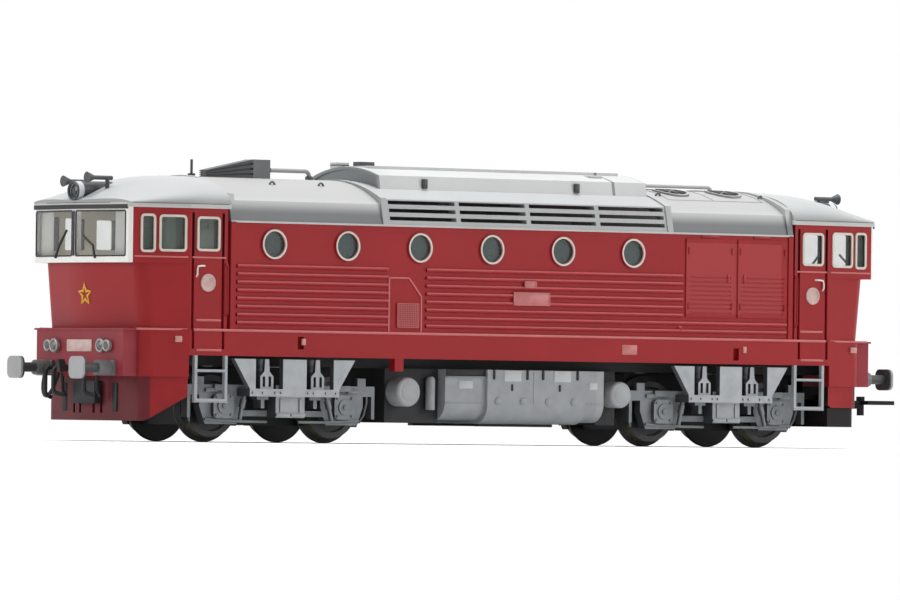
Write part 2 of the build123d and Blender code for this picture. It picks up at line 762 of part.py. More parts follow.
with BuildPart() as top_lamp:
    with BuildSketch(Plane.YZ.offset(lamp_face_x)):
        with Locations((0, lamp_z)):
            Circle(lamp_radius)
    with BuildSketch(Plane.YZ.offset(fairing_tail_x)):
        with Locations((0, lamp_z + fairing_tail_rise)):
            Circle(fairing_tail_radius)
    loft(ruled=True)
    with BuildSketch(Plane.YZ.offset(lamp_face_x)):
        with Locations((0, lamp_z)):
            Circle(lamp_radius - lamp_ring)
    extrude(amount=-lamp_ring, mode=Mode.SUBTRACT)
    add(cab_roof.part, mode=Mode.SUBTRACT)
write_ends(top_lamp.part, "top_lamp")

# Horns: two trumpets on their own feet each side of the top lamp's fairing
# Horns by x of the mouth, y and z
horns = ((88.9, -2.9, 48.6), (90.4, 2.6, 47.9))
horn_length, horn_bell = 5.6, 1.6
horn_mouth, horn_throat = 1.05, 0.4
horn_foot_inset = 1.0

with BuildPart() as horn_pair:
    for mouth_x, horn_y, horn_z in horns:
        with BuildSketch(Plane.YZ.offset(mouth_x)):
            with Locations((horn_y, horn_z)):
                Circle(horn_mouth)
        with BuildSketch(Plane.YZ.offset(mouth_x - horn_bell)):
            with Locations((horn_y, horn_z)):
                Circle(horn_throat)
        loft(ruled=True)
        with Locations(Location((mouth_x - horn_bell, horn_y, horn_z), (0, -90, 0))):
            Cylinder(horn_throat, horn_length - horn_bell, align=(Align.CENTER, Align.CENTER, Align.MIN))
        with Locations((mouth_x - horn_length + horn_foot_inset, horn_y, horn_z)):
            Cylinder(horn_throat, horn_z - dome_foot, align=(Align.CENTER, Align.CENTER, Align.MAX))
    add(cab_roof.part, mode=Mode.SUBTRACT)
write_ends(horn_pair.part, "horns")

# Lamp boxes: the buffer beams with their ledge, flat-fronted against the nose
box_face_x = 88.0
box_y = 14.1
box_lip = 0.35

with BuildPart() as lamp_box:
    with BuildSketch(Plane.XY.offset(skirt_seam)):
        with Locations((taper_x, 0)):
            Rectangle(box_face_x - taper_x, 2 * box_y, align=(Align.MIN, Align.CENTER))
    extrude(amount=ledge - skirt_seam)
    with BuildSketch(Plane.XY.offset(ledge)):
        with Locations((taper_x, 0)):
            Rectangle(
                box_face_x + box_lip - taper_x,
                2 * (box_y + box_lip),
                align=(Align.MIN, Align.CENTER),
            )
    extrude(amount=-box_lip)
    with BuildSketch(Plane.XY.offset(skirt_seam)):
        add(nose_plan(0, -sill_proud))
    extrude(amount=ledge - skirt_seam, mode=Mode.SUBTRACT)
write_ends(lamp_box.part, "buffer_beam")

# Marker lamps: two round lamps each side of the beam's middle
# Lamps by y and radius
markers = ((7.5, 1.1), (9.6, 0.9))
marker_z = 17.6
marker_proud = 0.7

with BuildPart() as marker_lamps:
    with BuildSketch(Plane.YZ.offset(box_face_x)):
        for marker_y, marker_radius in markers:
            with Locations((-marker_y, marker_z), (marker_y, marker_z)):
                Circle(marker_radius)
    extrude(amount=marker_proud)
write_ends(marker_lamps.part, "marker_lamps")

# Buffers: flange, stepped sleeve and a flat-sided head
buffer_y = 10.06
buffer_z = 13.5
buffer_head = (4.6, 4.1)
buffer_head_radius = 1.2
head_thickness = 0.8
stem_radius, sleeve_radius = 0.9, 1.4
sleeve_length = 3.2
buffer_flange = (3.4, 2.8, 0.5)

with BuildPart() as buffers:
    for side_sign in (-1, 1):
        spot = (side_sign * buffer_y, buffer_z)
        with BuildSketch(Plane.YZ.offset(box_face_x)):
            with Locations(spot):
                Rectangle(buffer_flange[0], buffer_flange[1])
        extrude(amount=buffer_flange[2])
        with BuildSketch(Plane.YZ.offset(box_face_x)):
            with Locations(spot):
                Circle(sleeve_radius)
        extrude(amount=sleeve_length)
        with BuildSketch(Plane.YZ.offset(box_face_x)):
            with Locations(spot):
                Circle(stem_radius)
        extrude(amount=buffer_face_x - box_face_x)
        with BuildSketch(Plane.YZ.offset(buffer_face_x)):
            with Locations(spot):
                RectangleRounded(*buffer_head, buffer_head_radius)
        extrude(amount=-head_thickness)
write_ends(buffers.part, "buffers")

# Pilots: the ploughs and side skirts below each cab, cut away towards the bogie
pilot_wall = 1.3
pilot_cut_z = 8.4
pilot_cut_x = 84.0
pilot_overcut = 1.0
# Slots in the plough by y and width
pilot_slots = ((-4.4, 0.7), (-2.2, 0.7), (2.2, 0.7), (4.4, 0.7))
pilot_slot_z0, pilot_slot_z1 = 5.2, 9.2
coupler_gap_y, coupler_gap_top = 1.4, 9.9
coupler_box_x0, coupler_box_inset = 75.8, 0.4
coupler_box_bottom, coupler_box_top = 4.2, 7.9

with BuildPart() as pilot:
    with BuildSketch(Plane.XY.offset(skirt_bottom)):
        add(nose_plan(0, 0))
        add(nose_plan(0, pilot_wall), mode=Mode.SUBTRACT)
        with Locations((skirt_rear_x, 0)):
            Rectangle(2 * skirt_rear_x, 4 * side_y, align=(Align.MAX, Align.CENTER), mode=Mode.SUBTRACT)
    extrude(amount=skirt_seam - skirt_bottom)
    with BuildSketch(Plane.XZ):
        Polygon(
            (skirt_rear_x - pilot_overcut, skirt_bottom - pilot_overcut),
            (pilot_cut_x, skirt_bottom - pilot_overcut),
            (pilot_cut_x, skirt_bottom),
            (skirt_rear_x, pilot_cut_z),
            (skirt_rear_x - pilot_overcut, pilot_cut_z),
            align=None,
        )
    extrude(amount=2 * side_y, both=True, mode=Mode.SUBTRACT)
    with BuildSketch(Plane.YZ.offset(pilot_cut_x)):
        for slot_y, slot_width in pilot_slots:
            with Locations((slot_y, (pilot_slot_z0 + pilot_slot_z1) / 2)):
                Rectangle(slot_width, pilot_slot_z1 - pilot_slot_z0)
    extrude(amount=buffer_face_x - pilot_cut_x, mode=Mode.SUBTRACT)
write(mirror(pilot.part, about=Plane.YZ), "pilot_front")

with BuildPart() as rear_pilot:
    add(pilot.part)
    with BuildSketch(Plane.XY.offset(coupler_box_top)):
        Rectangle(2 * buffer_face_x, 4 * side_y)
    extrude(amount=skirt_bottom - coupler_box_top, mode=Mode.SUBTRACT)
    with BuildSketch(Plane.YZ.offset(pilot_cut_x)):
        with Locations((0, coupler_box_top)):
            Rectangle(2 * coupler_gap_y, coupler_gap_top - coupler_box_top, align=(Align.CENTER, Align.MIN))
    extrude(amount=buffer_face_x - pilot_cut_x, mode=Mode.SUBTRACT)
write(rear_pilot.part, "pilot_rear")

# Front coupling: draw hook on its plate, with brake hoses beside it
hook_z = 13.5
hook_plate = (3.2, 2.8, 0.5)
hook_reach, hook_nose, hook_rise, hook_dip = 4.6, 1.3, 1.5, 0.4
hook_bar = 0.9
hose_radius = 0.4
hose_reach, hose_return, hose_lift, hose_bend = 2.4, 1.8, 0.5, 0.9
# Hoses by y, drop and sideways swing
hoses = ((5.0, 4.6, 1.0), (7.6, 5.0, -0.8), (-5.0, 4.6, 1.0))

with BuildPart() as coupling:
    with Locations((-box_face_x, 0, hook_z)):
        Box(hook_plate[2], hook_plate[0], hook_plate[1], align=(Align.MAX, Align.CENTER, Align.CENTER))
    with BuildSketch(Plane.XZ.offset(-hook_bar / 2)):
        with BuildLine():
            Polyline(
                (-box_face_x, hook_z - hook_bar / 2),
                (-box_face_x - hook_reach, hook_z - hook_bar / 2 - hook_dip),
                (-box_face_x - hook_reach - hook_bar / 2, hook_z + hook_rise),
                (-box_face_x - hook_reach - hook_bar / 2 + hook_nose, hook_z + hook_rise),
                (-box_face_x - hook_reach + hook_nose, hook_z + hook_bar / 2),
                (-box_face_x, hook_z + hook_bar / 2),
                close=True,
            )
        make_face()
    extrude(amount=hook_bar)
    for hose_y, hose_drop, hose_swing in hoses:
        hose_x = -box_face_x - hose_reach
        with BuildLine() as hose_path:
            FilletPolyline(
                (-box_face_x, hose_y, hook_z),
                (hose_x, hose_y, hook_z),
                (hose_x, hose_y, hook_z - hose_drop),
                (hose_x + hose_return, hose_y - hose_swing, hook_z - hose_drop - hose_lift),
                radius=hose_bend,
            )
        with BuildSketch(Plane(origin=hose_path.line @ 0, z_dir=hose_path.line % 0)):
            Circle(hose_radius)
        sweep(path=hose_path.line)
write(coupling.part, "front_coupling")

# Rear coupler: the model's loop coupling on a shank, with its black box under the pilot
shank = (2.0, 1.6)
shank_z = 8.6
shank_x0 = 79.0
shank_foot = (2.4, 4.0)
loop_x0, loop_x1 = 96.8, 103.4
loop_y = 3.4
loop_bar = 0.8
loop_post = (1.0, 1.4, 1.6)
loop_tail = (1.0, 1.0, 2.1)

with BuildPart() as coupler:
    with Locations((shank_x0, 0, shank_z)):
        Box(loop_x0 - shank_x0, *shank, align=(Align.MIN, Align.CENTER, Align.CENTER))
    with BuildSketch(Plane.XY.offset(shank_z - shank[1] / 2)):
        with Locations((shank_x0, 0)):
            Rectangle(*shank_foot, align=(Align.MIN, Align.CENTER))
    extrude(amount=spine_bottom - shank_z + shank[1] / 2)
    with BuildSketch(Plane.XY.offset(shank_z)):
        with Locations(((loop_x0 + loop_x1) / 2, 0)):
            Rectangle(loop_x1 - loop_x0, 2 * loop_y)
            Rectangle(loop_x1 - loop_x0 - 2 * loop_bar, 2 * loop_y - 2 * loop_bar, mode=Mode.SUBTRACT)
    extrude(amount=loop_bar)
    with Locations((loop_x0 + loop_bar, 0, shank_z)):
        Box(*loop_post, align=(Align.CENTER, Align.CENTER, Align.MIN))
        Box(*loop_tail, align=(Align.CENTER, Align.CENTER, Align.MAX))
    with BuildSketch(Plane.XY.offset(coupler_box_bottom)):
        add(nose_plan(0, coupler_box_inset))
        with Locations((coupler_box_x0, 0)):
            Rectangle(2 * coupler_box_x0, 4 * side_y, align=(Align.MAX, Align.CENTER), mode=Mode.SUBTRACT)
    extrude(amount=coupler_box_top - coupler_box_bottom)
write(coupler.part, "rear_coupler")

# Steps: four two-rung ladders below the cab doors
step_x0, step_x1 = 66.9, 74.3
step_y0, step_y1 = 16.7, 17.5
step_rail = 0.6
# Rungs by drop below the sill and thickness
rungs = ((2.8, 0.5), (8.3, 0.7))
step_drop = 8.7

with BuildPart() as steps:
    for end_sign in (-1, 1):
        for side_sign in (-1, 1):
            step_y = side_sign * (step_y0 + step_y1) / 2
            for rail_x in (step_x0 + step_rail / 2, step_x1 - step_rail / 2):
                with Locations((end_sign * rail_x, step_y, sill_bottom)):
                    Box(
                        step_rail,
                        step_y1 - step_y0,
                        step_drop,
                        align=(Align.CENTER, Align.CENTER, Align.MAX),
                    )
            for rung_drop, rung_thickness in rungs:
                with Locations((end_sign * (step_x0 + step_x1) / 2, step_y, sill_bottom - rung_drop)):
                    Box(step_x1 - step_x0, step_y1 - step_y0, rung_thickness)
write(steps.part, "cab_steps")

# Fuel tank: three boxes in a row with rounded lower edges, hung from the spine
# Drums beside it by end (-1 front, 1 rear), room left to the bogie and radius
drum_rows = ((-1, 3.15, 2.75), (1, 1.6, 2.5))
drum_spots = [(end * (bogie_end_x - room - radius), radius) for end, room, radius in drum_rows]
tank_gap = 0.9
tank_front_x = -14.8
tank_rear_x = drum_spots[1][0] - drum_spots[1][1] - tank_gap
# Boxes by x0, x1, half width, bottom and edge radius
tank_boxes = (
    (tank_front_x, -5.4, 14.8, 4.6, 3.6),
    (-5.4, 17.8, 15.5, 4.0, 3.6),
    (17.8, tank_rear_x, 15.0, 4.4, 3.6),
)

with BuildPart() as fuel_tank:
    for tank_x0, tank_x1, tank_y, tank_bottom, tank_radius in tank_boxes:
        with BuildSketch(Plane.YZ.offset(tank_x0)) as tank_section:
            with BuildLine():
                Polyline(
                    (-tank_y, spine_bottom),
                    (-tank_y, tank_bottom),
                    (tank_y, tank_bottom),
                    (tank_y, spine_bottom),
                    close=True,
                )
            make_face()
            fillet(tank_section.vertices().group_by(Axis.Y)[0], radius=tank_radius)
        extrude(amount=tank_x1 - tank_x0)
write(fuel_tank.part, "fuel_tank")

# Black equipment boxes each side of the fuel tank, and the air drums on their flanks
# Boxes by x0 and x1
swing_room = 2.9
equipment_end_x = bogie_end_x - swing_room
equipment = ((-equipment_end_x, tank_front_x), (tank_rear_x, equipment_end_x))
equipment_y = 12.4
equipment_bottom = 4.0
drum_z = 9.8
drum_end_y = 16.2
drum_dome = 0.6

with BuildPart() as equipment_boxes:
    for box_x0, box_x1 in equipment:
        with BuildSketch(Plane.XY.offset(equipment_bottom)):
            with Locations((box_x0, 0)):
                Rectangle(box_x1 - box_x0, 2 * equipment_y, align=(Align.MIN, Align.CENTER))
        extrude(amount=spine_bottom - equipment_bottom)
write(equipment_boxes.part, "equipment_boxes")

with BuildPart() as drums:
    for drum_x, drum_radius in drum_spots:
        with BuildSketch(Plane.XZ.offset(equipment_y)):
            with Locations((drum_x, drum_z)):
                Circle(drum_radius)
        extrude(amount=drum_end_y - equipment_y)
    fillet(drums.edges().filter_by(GeomType.CIRCLE).group_by(Axis.Y)[0], radius=drum_dome)
    mirror(about=Plane.XZ)
write(drums.part, "air_drums")

# Bogies: side frames with axle guards, spring ledges and hanger plates, joined by a gear block
frame_y0, frame_y1 = 11.3, 13.2
beam_z0, beam_z1 = 8.8, 10.7
guard_half, guard_z, guard_foot = 4.9, 3.4, 3.6
tie_z0, tie_z1 = 4.9, 6.0
# Ledges by x0 and x1 from the pivot
ledges = ((-10.2, -2.4), (2.4, 10.2))
ledge_z0, ledge_z1 = 8.6, 10.0
plate_y = 17.4
plate_thickness = 1.2
plate_top = 15.5
# Hanger plates by x at the bottom left, bottom right, top right and top left from the pivot
hangers = ((-2.7, 2.7, 2.7, -2.7), (8.9, 10.2, 13.8, 8.9), (-10.2, -8.9, -8.9, -13.8))
block_half, block_y, block_z0 = 3.3, 16.0, 4.7
# Brackets under the ledges by x, width, z0 and z1 from the pivot
brackets = ((-6.0, 0.8, 6.4, 8.6), (6.0, 0.8, 6.4, 8.6), (-6.0, 2.6, 8.0, 8.6), (6.0, 2.6, 8.0, 8.6))
bracket_y = 15.6
axlebox_size, axlebox_corner = (4.6, 4.6), 1.1
axlebox_y = 14.2
cap_radius, cap_proud = 1.4, 0.25
gear_overhang, gear_y, gear_gap = 3.6, 6.4, 0.3
gear_reach = wheelbase / 2 + gear_overhang
gear_z0, gear_z1 = 3.2, spine_bottom - gear_gap
waist_reach, waist_y = 5.0, 12.0
end_rod = 0.7
end_rod_bottom = 4.6
axle_spots = [(pivot_x + spot, axle_z) for spot in (-wheelbase / 2, wheelbase / 2)]

with BuildPart() as bogie:
    with BuildSketch(Plane.XZ.offset(frame_y0)):
        with Locations((pivot_x, (beam_z0 + beam_z1) / 2)):
            Rectangle(2 * frame_reach, beam_z1 - beam_z0)
        with Locations((pivot_x, (tie_z0 + tie_z1) / 2)):
            Rectangle(wheelbase, tie_z1 - tie_z0)
        for axle_x, _ in axle_spots:
            Polygon(
                (axle_x - guard_half, beam_z1),
                (axle_x - guard_half, axle_z),
                (axle_x - guard_foot, guard_z),
                (axle_x + guard_foot, guard_z),
                (axle_x + guard_half, axle_z),
                (axle_x + guard_half, beam_z1),
                align=None,
            )
        with Locations(*[(pivot_x + s * (frame_reach - end_rod / 2), beam_z1) for s in (-1, 1)]):
            Rectangle(end_rod, beam_z1 - end_rod_bottom, align=(Align.CENTER, Align.MAX))
    extrude(amount=frame_y1 - frame_y0)
    with BuildSketch(Plane.XZ.offset(frame_y1)):
        with Locations(*axle_spots):
            RectangleRounded(*axlebox_size, axlebox_corner)
    extrude(amount=axlebox_y - frame_y1)
    with BuildSketch(Plane.XZ.offset(axlebox_y)):
        with Locations(*axle_spots):
            Circle(cap_radius)
    extrude(amount=cap_proud)
    with BuildSketch(Plane.XZ.offset(frame_y1)):
        for ledge_x0, ledge_x1 in ledges:
            with Locations((pivot_x + (ledge_x0 + ledge_x1) / 2, (ledge_z0 + ledge_z1) / 2)):
                Rectangle(ledge_x1 - ledge_x0, ledge_z1 - ledge_z0)
    extrude(amount=plate_y - frame_y1)
    with BuildSketch(Plane.XZ.offset(frame_y1)):
        with Locations((pivot_x, (block_z0 + ledge_z0) / 2)):
            Rectangle(2 * block_half, ledge_z0 - block_z0)
        with Locations((pivot_x, (ledge_z0 + beam_z1) / 2)):
            Rectangle(2 * block_half, beam_z1 - ledge_z0)
    extrude(amount=block_y - frame_y1)
    with BuildSketch(Plane.XZ.offset(frame_y1)):
        for bracket_x, bracket_width, bracket_z0, bracket_z1 in brackets:
            with Locations((pivot_x + bracket_x, (bracket_z0 + bracket_z1) / 2)):
                Rectangle(bracket_width, bracket_z1 - bracket_z0)
    extrude(amount=bracket_y - frame_y1)
    with BuildSketch(Plane.XZ.offset(plate_y - plate_thickness)):
        for low_left, low_right, top_right, top_left in hangers:
            Polygon(
                (pivot_x + low_left, ledge_z0),
                (pivot_x + low_right, ledge_z0),
                (pivot_x + low_right, ledge_z1),
                (pivot_x + top_right, plate_top),
                (pivot_x + top_left, plate_top),
                (pivot_x + low_left, ledge_z1),
                align=None,
            )
    extrude(amount=plate_thickness)
    mirror(about=Plane.XZ)
    with BuildSketch(Plane.XY.offset(gear_z0)):
        with Locations((pivot_x, 0)):
            Rectangle(2 * gear_reach, 2 * gear_y)
    extrude(amount=gear_z1 - gear_z0)
    with BuildSketch(Plane.XY.offset(beam_z0)):
        with Locations((pivot_x, 0)):
            Rectangle(2 * waist_reach, 2 * waist_y)
    extrude(amount=beam_z1 - beam_z0)
    with BuildSketch(Plane.XY.offset(gear_z1)):
        with Locations((pivot_x, 0)):
            Circle(pivot_pin_radius)
    extrude(amount=sill_bottom - gear_z1)
    with BuildSketch(Plane.XZ):
        with Locations(*axle_spots):
            Circle(axle_radius + running_clearance)
    extrude(amount=gear_y, both=True, mode=Mode.SUBTRACT)
write_ends(bogie.part, "bogie_frame")

# Spring links: a forked hanger under a capped pin in each pocket, before its coil spring
spring_x = 5.8
spring_y, spring_radius, spring_core = 14.7, 1.3, 0.95
spring_turns = 5
turn_share = 0.5
link_y0, link_y1 = 15.9, 16.6
link_foot, link_neck, link_head = 1.5, 0.6, 0.45
link_knee_z, link_neck_z = 12.3, 13.2
fork_x, fork_width, fork_rise = 0.68, 0.6, 0.4
spring_sides = (-1, 1)

with BuildPart() as springs:
    turn_pitch = (plate_top - ledge_z1) / spring_turns
    for side_sign in spring_sides:
        spot_x = pivot_x + side_sign * spring_x
        with Locations((spot_x, -spring_y, ledge_z1)):
            Cylinder(spring_core, plate_top - ledge_z1, align=(Align.CENTER, Align.CENTER, Align.MIN))
        for turn in range(spring_turns):
            with Locations((spot_x, -spring_y, ledge_z1 + turn * turn_pitch)):
                Cylinder(
                    spring_radius,
                    turn_share * turn_pitch,
                    align=(Align.CENTER, Align.CENTER, Align.MIN),
                )
        with BuildSketch(Plane.XZ.offset(link_y0)):
            Polygon(
                (spot_x - link_foot, ledge_z1),
                (spot_x + link_foot, ledge_z1),
                (spot_x + link_foot, link_knee_z),
                (spot_x + link_neck, link_neck_z),
                (spot_x + link_head, plate_top),
                (spot_x - link_head, plate_top),
                (spot_x - link_neck, link_neck_z),
                (spot_x - link_foot, link_knee_z),
                align=None,
            )
            for fork_sign in spring_sides:
                with Locations((spot_x + fork_sign * fork_x, ledge_z1 + fork_rise)):
                    Rectangle(
                        fork_width,
                        link_knee_z - ledge_z1 - fork_rise,
                        align=(Align.CENTER, Align.MIN),
                        mode=Mode.SUBTRACT,
                    )
        extrude(amount=link_y1 - link_y0)
        with Locations((spot_x, -spring_y, plate_top)):
            Cylinder(spring_radius, spring_core, align=(Align.CENTER, Align.CENTER, Align.MAX))
    mirror(about=Plane.XZ)
write_ends(springs.part, "bogie_springs")

# Wheelsets: one axle with two disc wheels turned in one piece
hub_radius = 2.2
web_radius = 4.7
web_depth, web_slope = 0.7, 0.2
axle_proud = 0.4
tread_taper = 0.1
wheel_back_y = back_to_back / 2
wheel_face_y = wheel_back_y + tyre_width
flange_radius = tread_radius + flange_depth
wheel_points = (
    (0, 0),
    (0, axle_radius),
    (wheel_back_y, axle_radius),
    (wheel_back_y, flange_radius - web_slope),
    (wheel_back_y + flange_width / 3, flange_radius),
    (wheel_back_y + flange_width * 2 / 3, flange_radius),
    (wheel_back_y + flange_width, tread_radius + tread_taper),
    (wheel_face_y, tread_radius),
    (wheel_face_y, web_radius),
    (wheel_face_y - web_depth, web_radius - web_slope),
    (wheel_face_y - web_depth, hub_radius + web_slope),
    (wheel_face_y, hub_radius),
    (wheel_face_y, axle_radius),
    (wheel_face_y + axle_proud, axle_radius),
    (wheel_face_y + axle_proud, 0),
)
# Wheelsets by name and x
wheelsets = (
    ("wheelset_1", -pivot_x - wheelbase / 2),
    ("wheelset_2", -pivot_x + wheelbase / 2),
    ("wheelset_3", pivot_x - wheelbase / 2),
    ("wheelset_4", pivot_x + wheelbase / 2),
)

for wheelset_name, wheelset_x in wheelsets:
    with BuildPart() as wheelset:
        with BuildSketch(Plane((wheelset_x, 0, axle_z), x_dir=(0, 1, 0), z_dir=(1, 0, 0))):
            with BuildLine():
                Polyline(*wheel_points, close=True)
            make_face()
        revolve(axis=Axis((wheelset_x, 0, axle_z), (0, 1, 0)))
        mirror(about=Plane.XZ)
    write(wheelset.part, wheelset_name)
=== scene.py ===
from math import cos, pi, radians, sin

import bmesh
import bpy
import numpy as np
from mathutils import Matrix, Vector


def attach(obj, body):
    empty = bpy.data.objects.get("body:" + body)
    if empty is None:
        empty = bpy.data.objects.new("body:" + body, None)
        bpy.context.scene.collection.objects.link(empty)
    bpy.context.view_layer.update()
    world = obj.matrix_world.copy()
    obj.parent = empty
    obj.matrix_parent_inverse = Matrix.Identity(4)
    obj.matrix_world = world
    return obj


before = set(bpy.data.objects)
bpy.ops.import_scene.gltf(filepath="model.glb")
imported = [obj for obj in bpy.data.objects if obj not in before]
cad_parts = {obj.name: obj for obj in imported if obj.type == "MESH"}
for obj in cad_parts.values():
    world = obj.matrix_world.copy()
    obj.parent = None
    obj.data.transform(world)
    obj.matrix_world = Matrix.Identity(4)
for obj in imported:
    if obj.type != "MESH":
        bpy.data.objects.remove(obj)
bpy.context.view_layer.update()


# Chassis frame and equipment boxes: the model's die casting, sprayed matt black, with the
# boxes screwed under it each side of the fuel tank. The spray leaves a fine even grain.
MM = 0.001
gloss_spread, grain_pitch, grain_depth = 0.07, 0.12, 0.01


def shading_node(tree, kind, inputs, **switches):
    """One shader node: its switches are set first, then each input takes a link or a plain value."""
    node = tree.nodes.new(f"ShaderNode{kind}")
    for name, value in switches.items():
        setattr(node, name, value)
    for name, value in inputs.items():
        if isinstance(value, bpy.types.NodeSocket):
            tree.links.new(value, node.inputs[name])
        else:
            node.inputs[name].default_value = value
    return node


def measured(tree, operation, *values):
    """Result of a sum on sockets and plain numbers, taken in order."""
    return shading_node(tree, "Math", dict(enumerate(values)), operation=operation).outputs["Value"]


def place_on(tree, kind="Object"):
    """The object's own coordinates, or its surface's direction as Normal."""
    return tree.nodes.new("ShaderNodeTexCoord").outputs[kind]


def axes_on(tree, kind="Object"):
    """The same as separate X, Y and Z sockets."""
    return shading_node(tree, "SeparateXYZ", {"Vector": place_on(tree, kind)}).outputs


def spread(tree, value, low=0.0, high=1.0, to_low=0.0, to_high=1.0, ease="LINEAR"):
    """A value carried from one range to another and held at its ends."""
    limits = {"Value": value, "From Min": low, "From Max": high, "To Min": to_low, "To Max": to_high}
    return shading_node(tree, "MapRange", limits, interpolation_type=ease).outputs["Result"]


def mixed(tree, factor, under, over, blend="MIX"):
    """Two colours mixed by a factor."""
    parts = {"Factor": factor, "A": under, "B": over}
    return shading_node(tree, "Mix", parts, data_type="RGBA", blend_type=blend).outputs["Result"]


def noise_on(tree, pitch, detail):
    """Noise on the object's own coordinates, with its pitch in mm."""
    parts = {"Vector": place_on(tree), "Scale": 1 / (pitch * MM), "Detail": detail}
    return shading_node(tree, "TexNoise", parts).outputs["Fac"]


def sprayed(
    name, colour, roughness, mottle=0.07, patch=6.0, grain=0.5, metallic=0.0,
    dust_and_top_light=0.0, dust_and_top_light_colour=(0.62, 0.60, 0.57), shine=0.4, bands=(),
):
    """Sprayed or moulded finish. Each band (axis, low, high, colour) repaints the reach where the
    coordinate's size lies between low and high, in mm. A broad noise (patch, in mm) varies the
    colour and the gloss, and a fine noise gives the grain. Faces that look up turn towards the pale
    colour by the given share: a little dust on most finishes, and painted highlight and painted top
    light on the red sides and the cab roofs."""
    finish = bpy.data.materials.new(name)
    finish.use_nodes = True
    tree = finish.node_tree
    shader = tree.nodes["Principled BSDF"].inputs
    shader["Metallic"].default_value = metallic
    shader["Specular IOR Level"].default_value = shine
    spot, facing = axes_on(tree), axes_on(tree, "Normal")
    broad = noise_on(tree, patch, 5.0)
    coat = (*colour, 1)
    for axis, low, high, band_colour in bands:
        size = measured(tree, "ABSOLUTE", spot[axis])
        inside = measured(tree, "COMPARE", size, (low + high) / 2 * MM, (high - low) / 2 * MM)
        coat = mixed(tree, inside, coat, (*band_colour, 1))
    shade = spread(tree, broad, 0.3, 0.7, 1 - mottle, 1 + mottle)
    paint = mixed(tree, 1.0, coat, shade, "MULTIPLY")
    dust_and_light_share = spread(tree, facing["Z"], low=0.3, to_high=dust_and_top_light)
    dusted_and_lit = mixed(tree, dust_and_light_share, paint, (*dust_and_top_light_colour, 1))
    gloss = spread(tree, broad, to_low=roughness - gloss_spread, to_high=roughness + gloss_spread)
    rise = {"Height": noise_on(tree, grain_pitch, 2.0), "Strength": grain, "Distance": grain_depth * MM}
    bump = shading_node(tree, "Bump", rise)
    tree.links.new(dusted_and_lit, shader["Base Color"])
    tree.links.new(gloss, shader["Roughness"])
    tree.links.new(bump.outputs["Normal"], shader["Normal"])
    return finish


def finish_nodes(material, *names):
    """Gives CAD nodes this finish on all their slots."""
    for name in names:
        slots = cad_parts[name].data.materials
        slots.clear()
        slots.append(material)


black_casting = sprayed("black_casting", (0.012, 0.013, 0.015), 0.6, dust_and_top_light=0.04)
finish_nodes(black_casting, "chassis_frame", "equipment_boxes")

# Motor: a plain painted block inside the body, seen only as a shadow through the portholes.
# It stands on the casting's floor and is never handled.
motor_grey = sprayed("motor_grey", (0.05, 0.05, 0.055), 0.5)
finish_nodes(motor_grey, "motor_block")

# Wheelsets: steel wheels turned in one piece with their axle. The discs are chemically
# blackened, and the treads are bare metal that running has polished to a brassy tone.
tread_brass, disc_limit = (0.21, 0.195, 0.12), 0.35
wheel_steel = sprayed("wheel_steel", (0.035, 0.037, 0.04), 0.42, metallic=0.3, shine=0.5)
wheel_tree = wheel_steel.node_tree


def repaint(material, mask, colour):
    """Lays another colour over a finish wherever the mask socket gives one."""
    tree = material.node_tree
    base = tree.nodes["Principled BSDF"].inputs["Base Color"]
    tree.links.new(mixed(tree, mask, base.links[0].from_socket, (*colour, 1)), base)


sideways = measured(wheel_tree, "ABSOLUTE", axes_on(wheel_tree, "Normal")["Y"])
repaint(wheel_steel, measured(wheel_tree, "LESS_THAN", sideways, disc_limit), tread_brass)
finish_nodes(wheel_steel, "wheelset_1", "wheelset_2", "wheelset_3", "wheelset_4")

# Bogies: grey plastic mouldings with hanger plates, springs and axleboxes. Their brake
# shoes, sand pipes, dampers and bolts are finer mouldings pressed into the same frame.
# The frame's inner part is painted black and its faces that look along the track are darkened, both as
# painted shade; the outer plates are a lighter grey.
running_light, running_mid = (0.36, 0.38, 0.395), (0.215, 0.235, 0.245)
running_inner_shade, running_end_shade = (0.012, 0.013, 0.014), (0.05, 0.054, 0.058)
running_grey = sprayed(
    "running_grey", running_mid, 0.55, mottle=0.12, patch=2.5, dust_and_top_light=0.12,
    bands=(("Y", 15.9, 18.0, running_light), ("Y", -1.0, 10.9, running_inner_shade)))
running_tree = running_grey.node_tree
endways_share = measured(running_tree, "ABSOLUTE", axes_on(running_tree, "Normal")["X"])
repaint(running_grey, spread(running_tree, endways_share, 0.4, 0.9), running_end_shade)
finish_nodes(
    running_grey, "bogie_frame_front", "bogie_frame_rear", "bogie_springs_front", "bogie_springs_rear")


def grid_faces(rows, columns, closed=False):
    """Quads of a grid whose columns meet round the section; its rows meet too where it is closed."""
    row = np.arange(rows if closed else rows - 1)[:, None]
    column = np.arange(columns)[None, :]
    after, beside = (row + 1) % rows * columns, (column + 1) % columns
    quads = np.broadcast_arrays(
        row * columns + column, row * columns + beside, after + beside, after + column)
    return np.stack(quads, -1).reshape(-1, 4)


def end_caps(rows, columns):
    """The first and the last row of a grid, each as one face."""
    return np.arange(columns) + np.array(((0,), (rows - 1,))) * columns


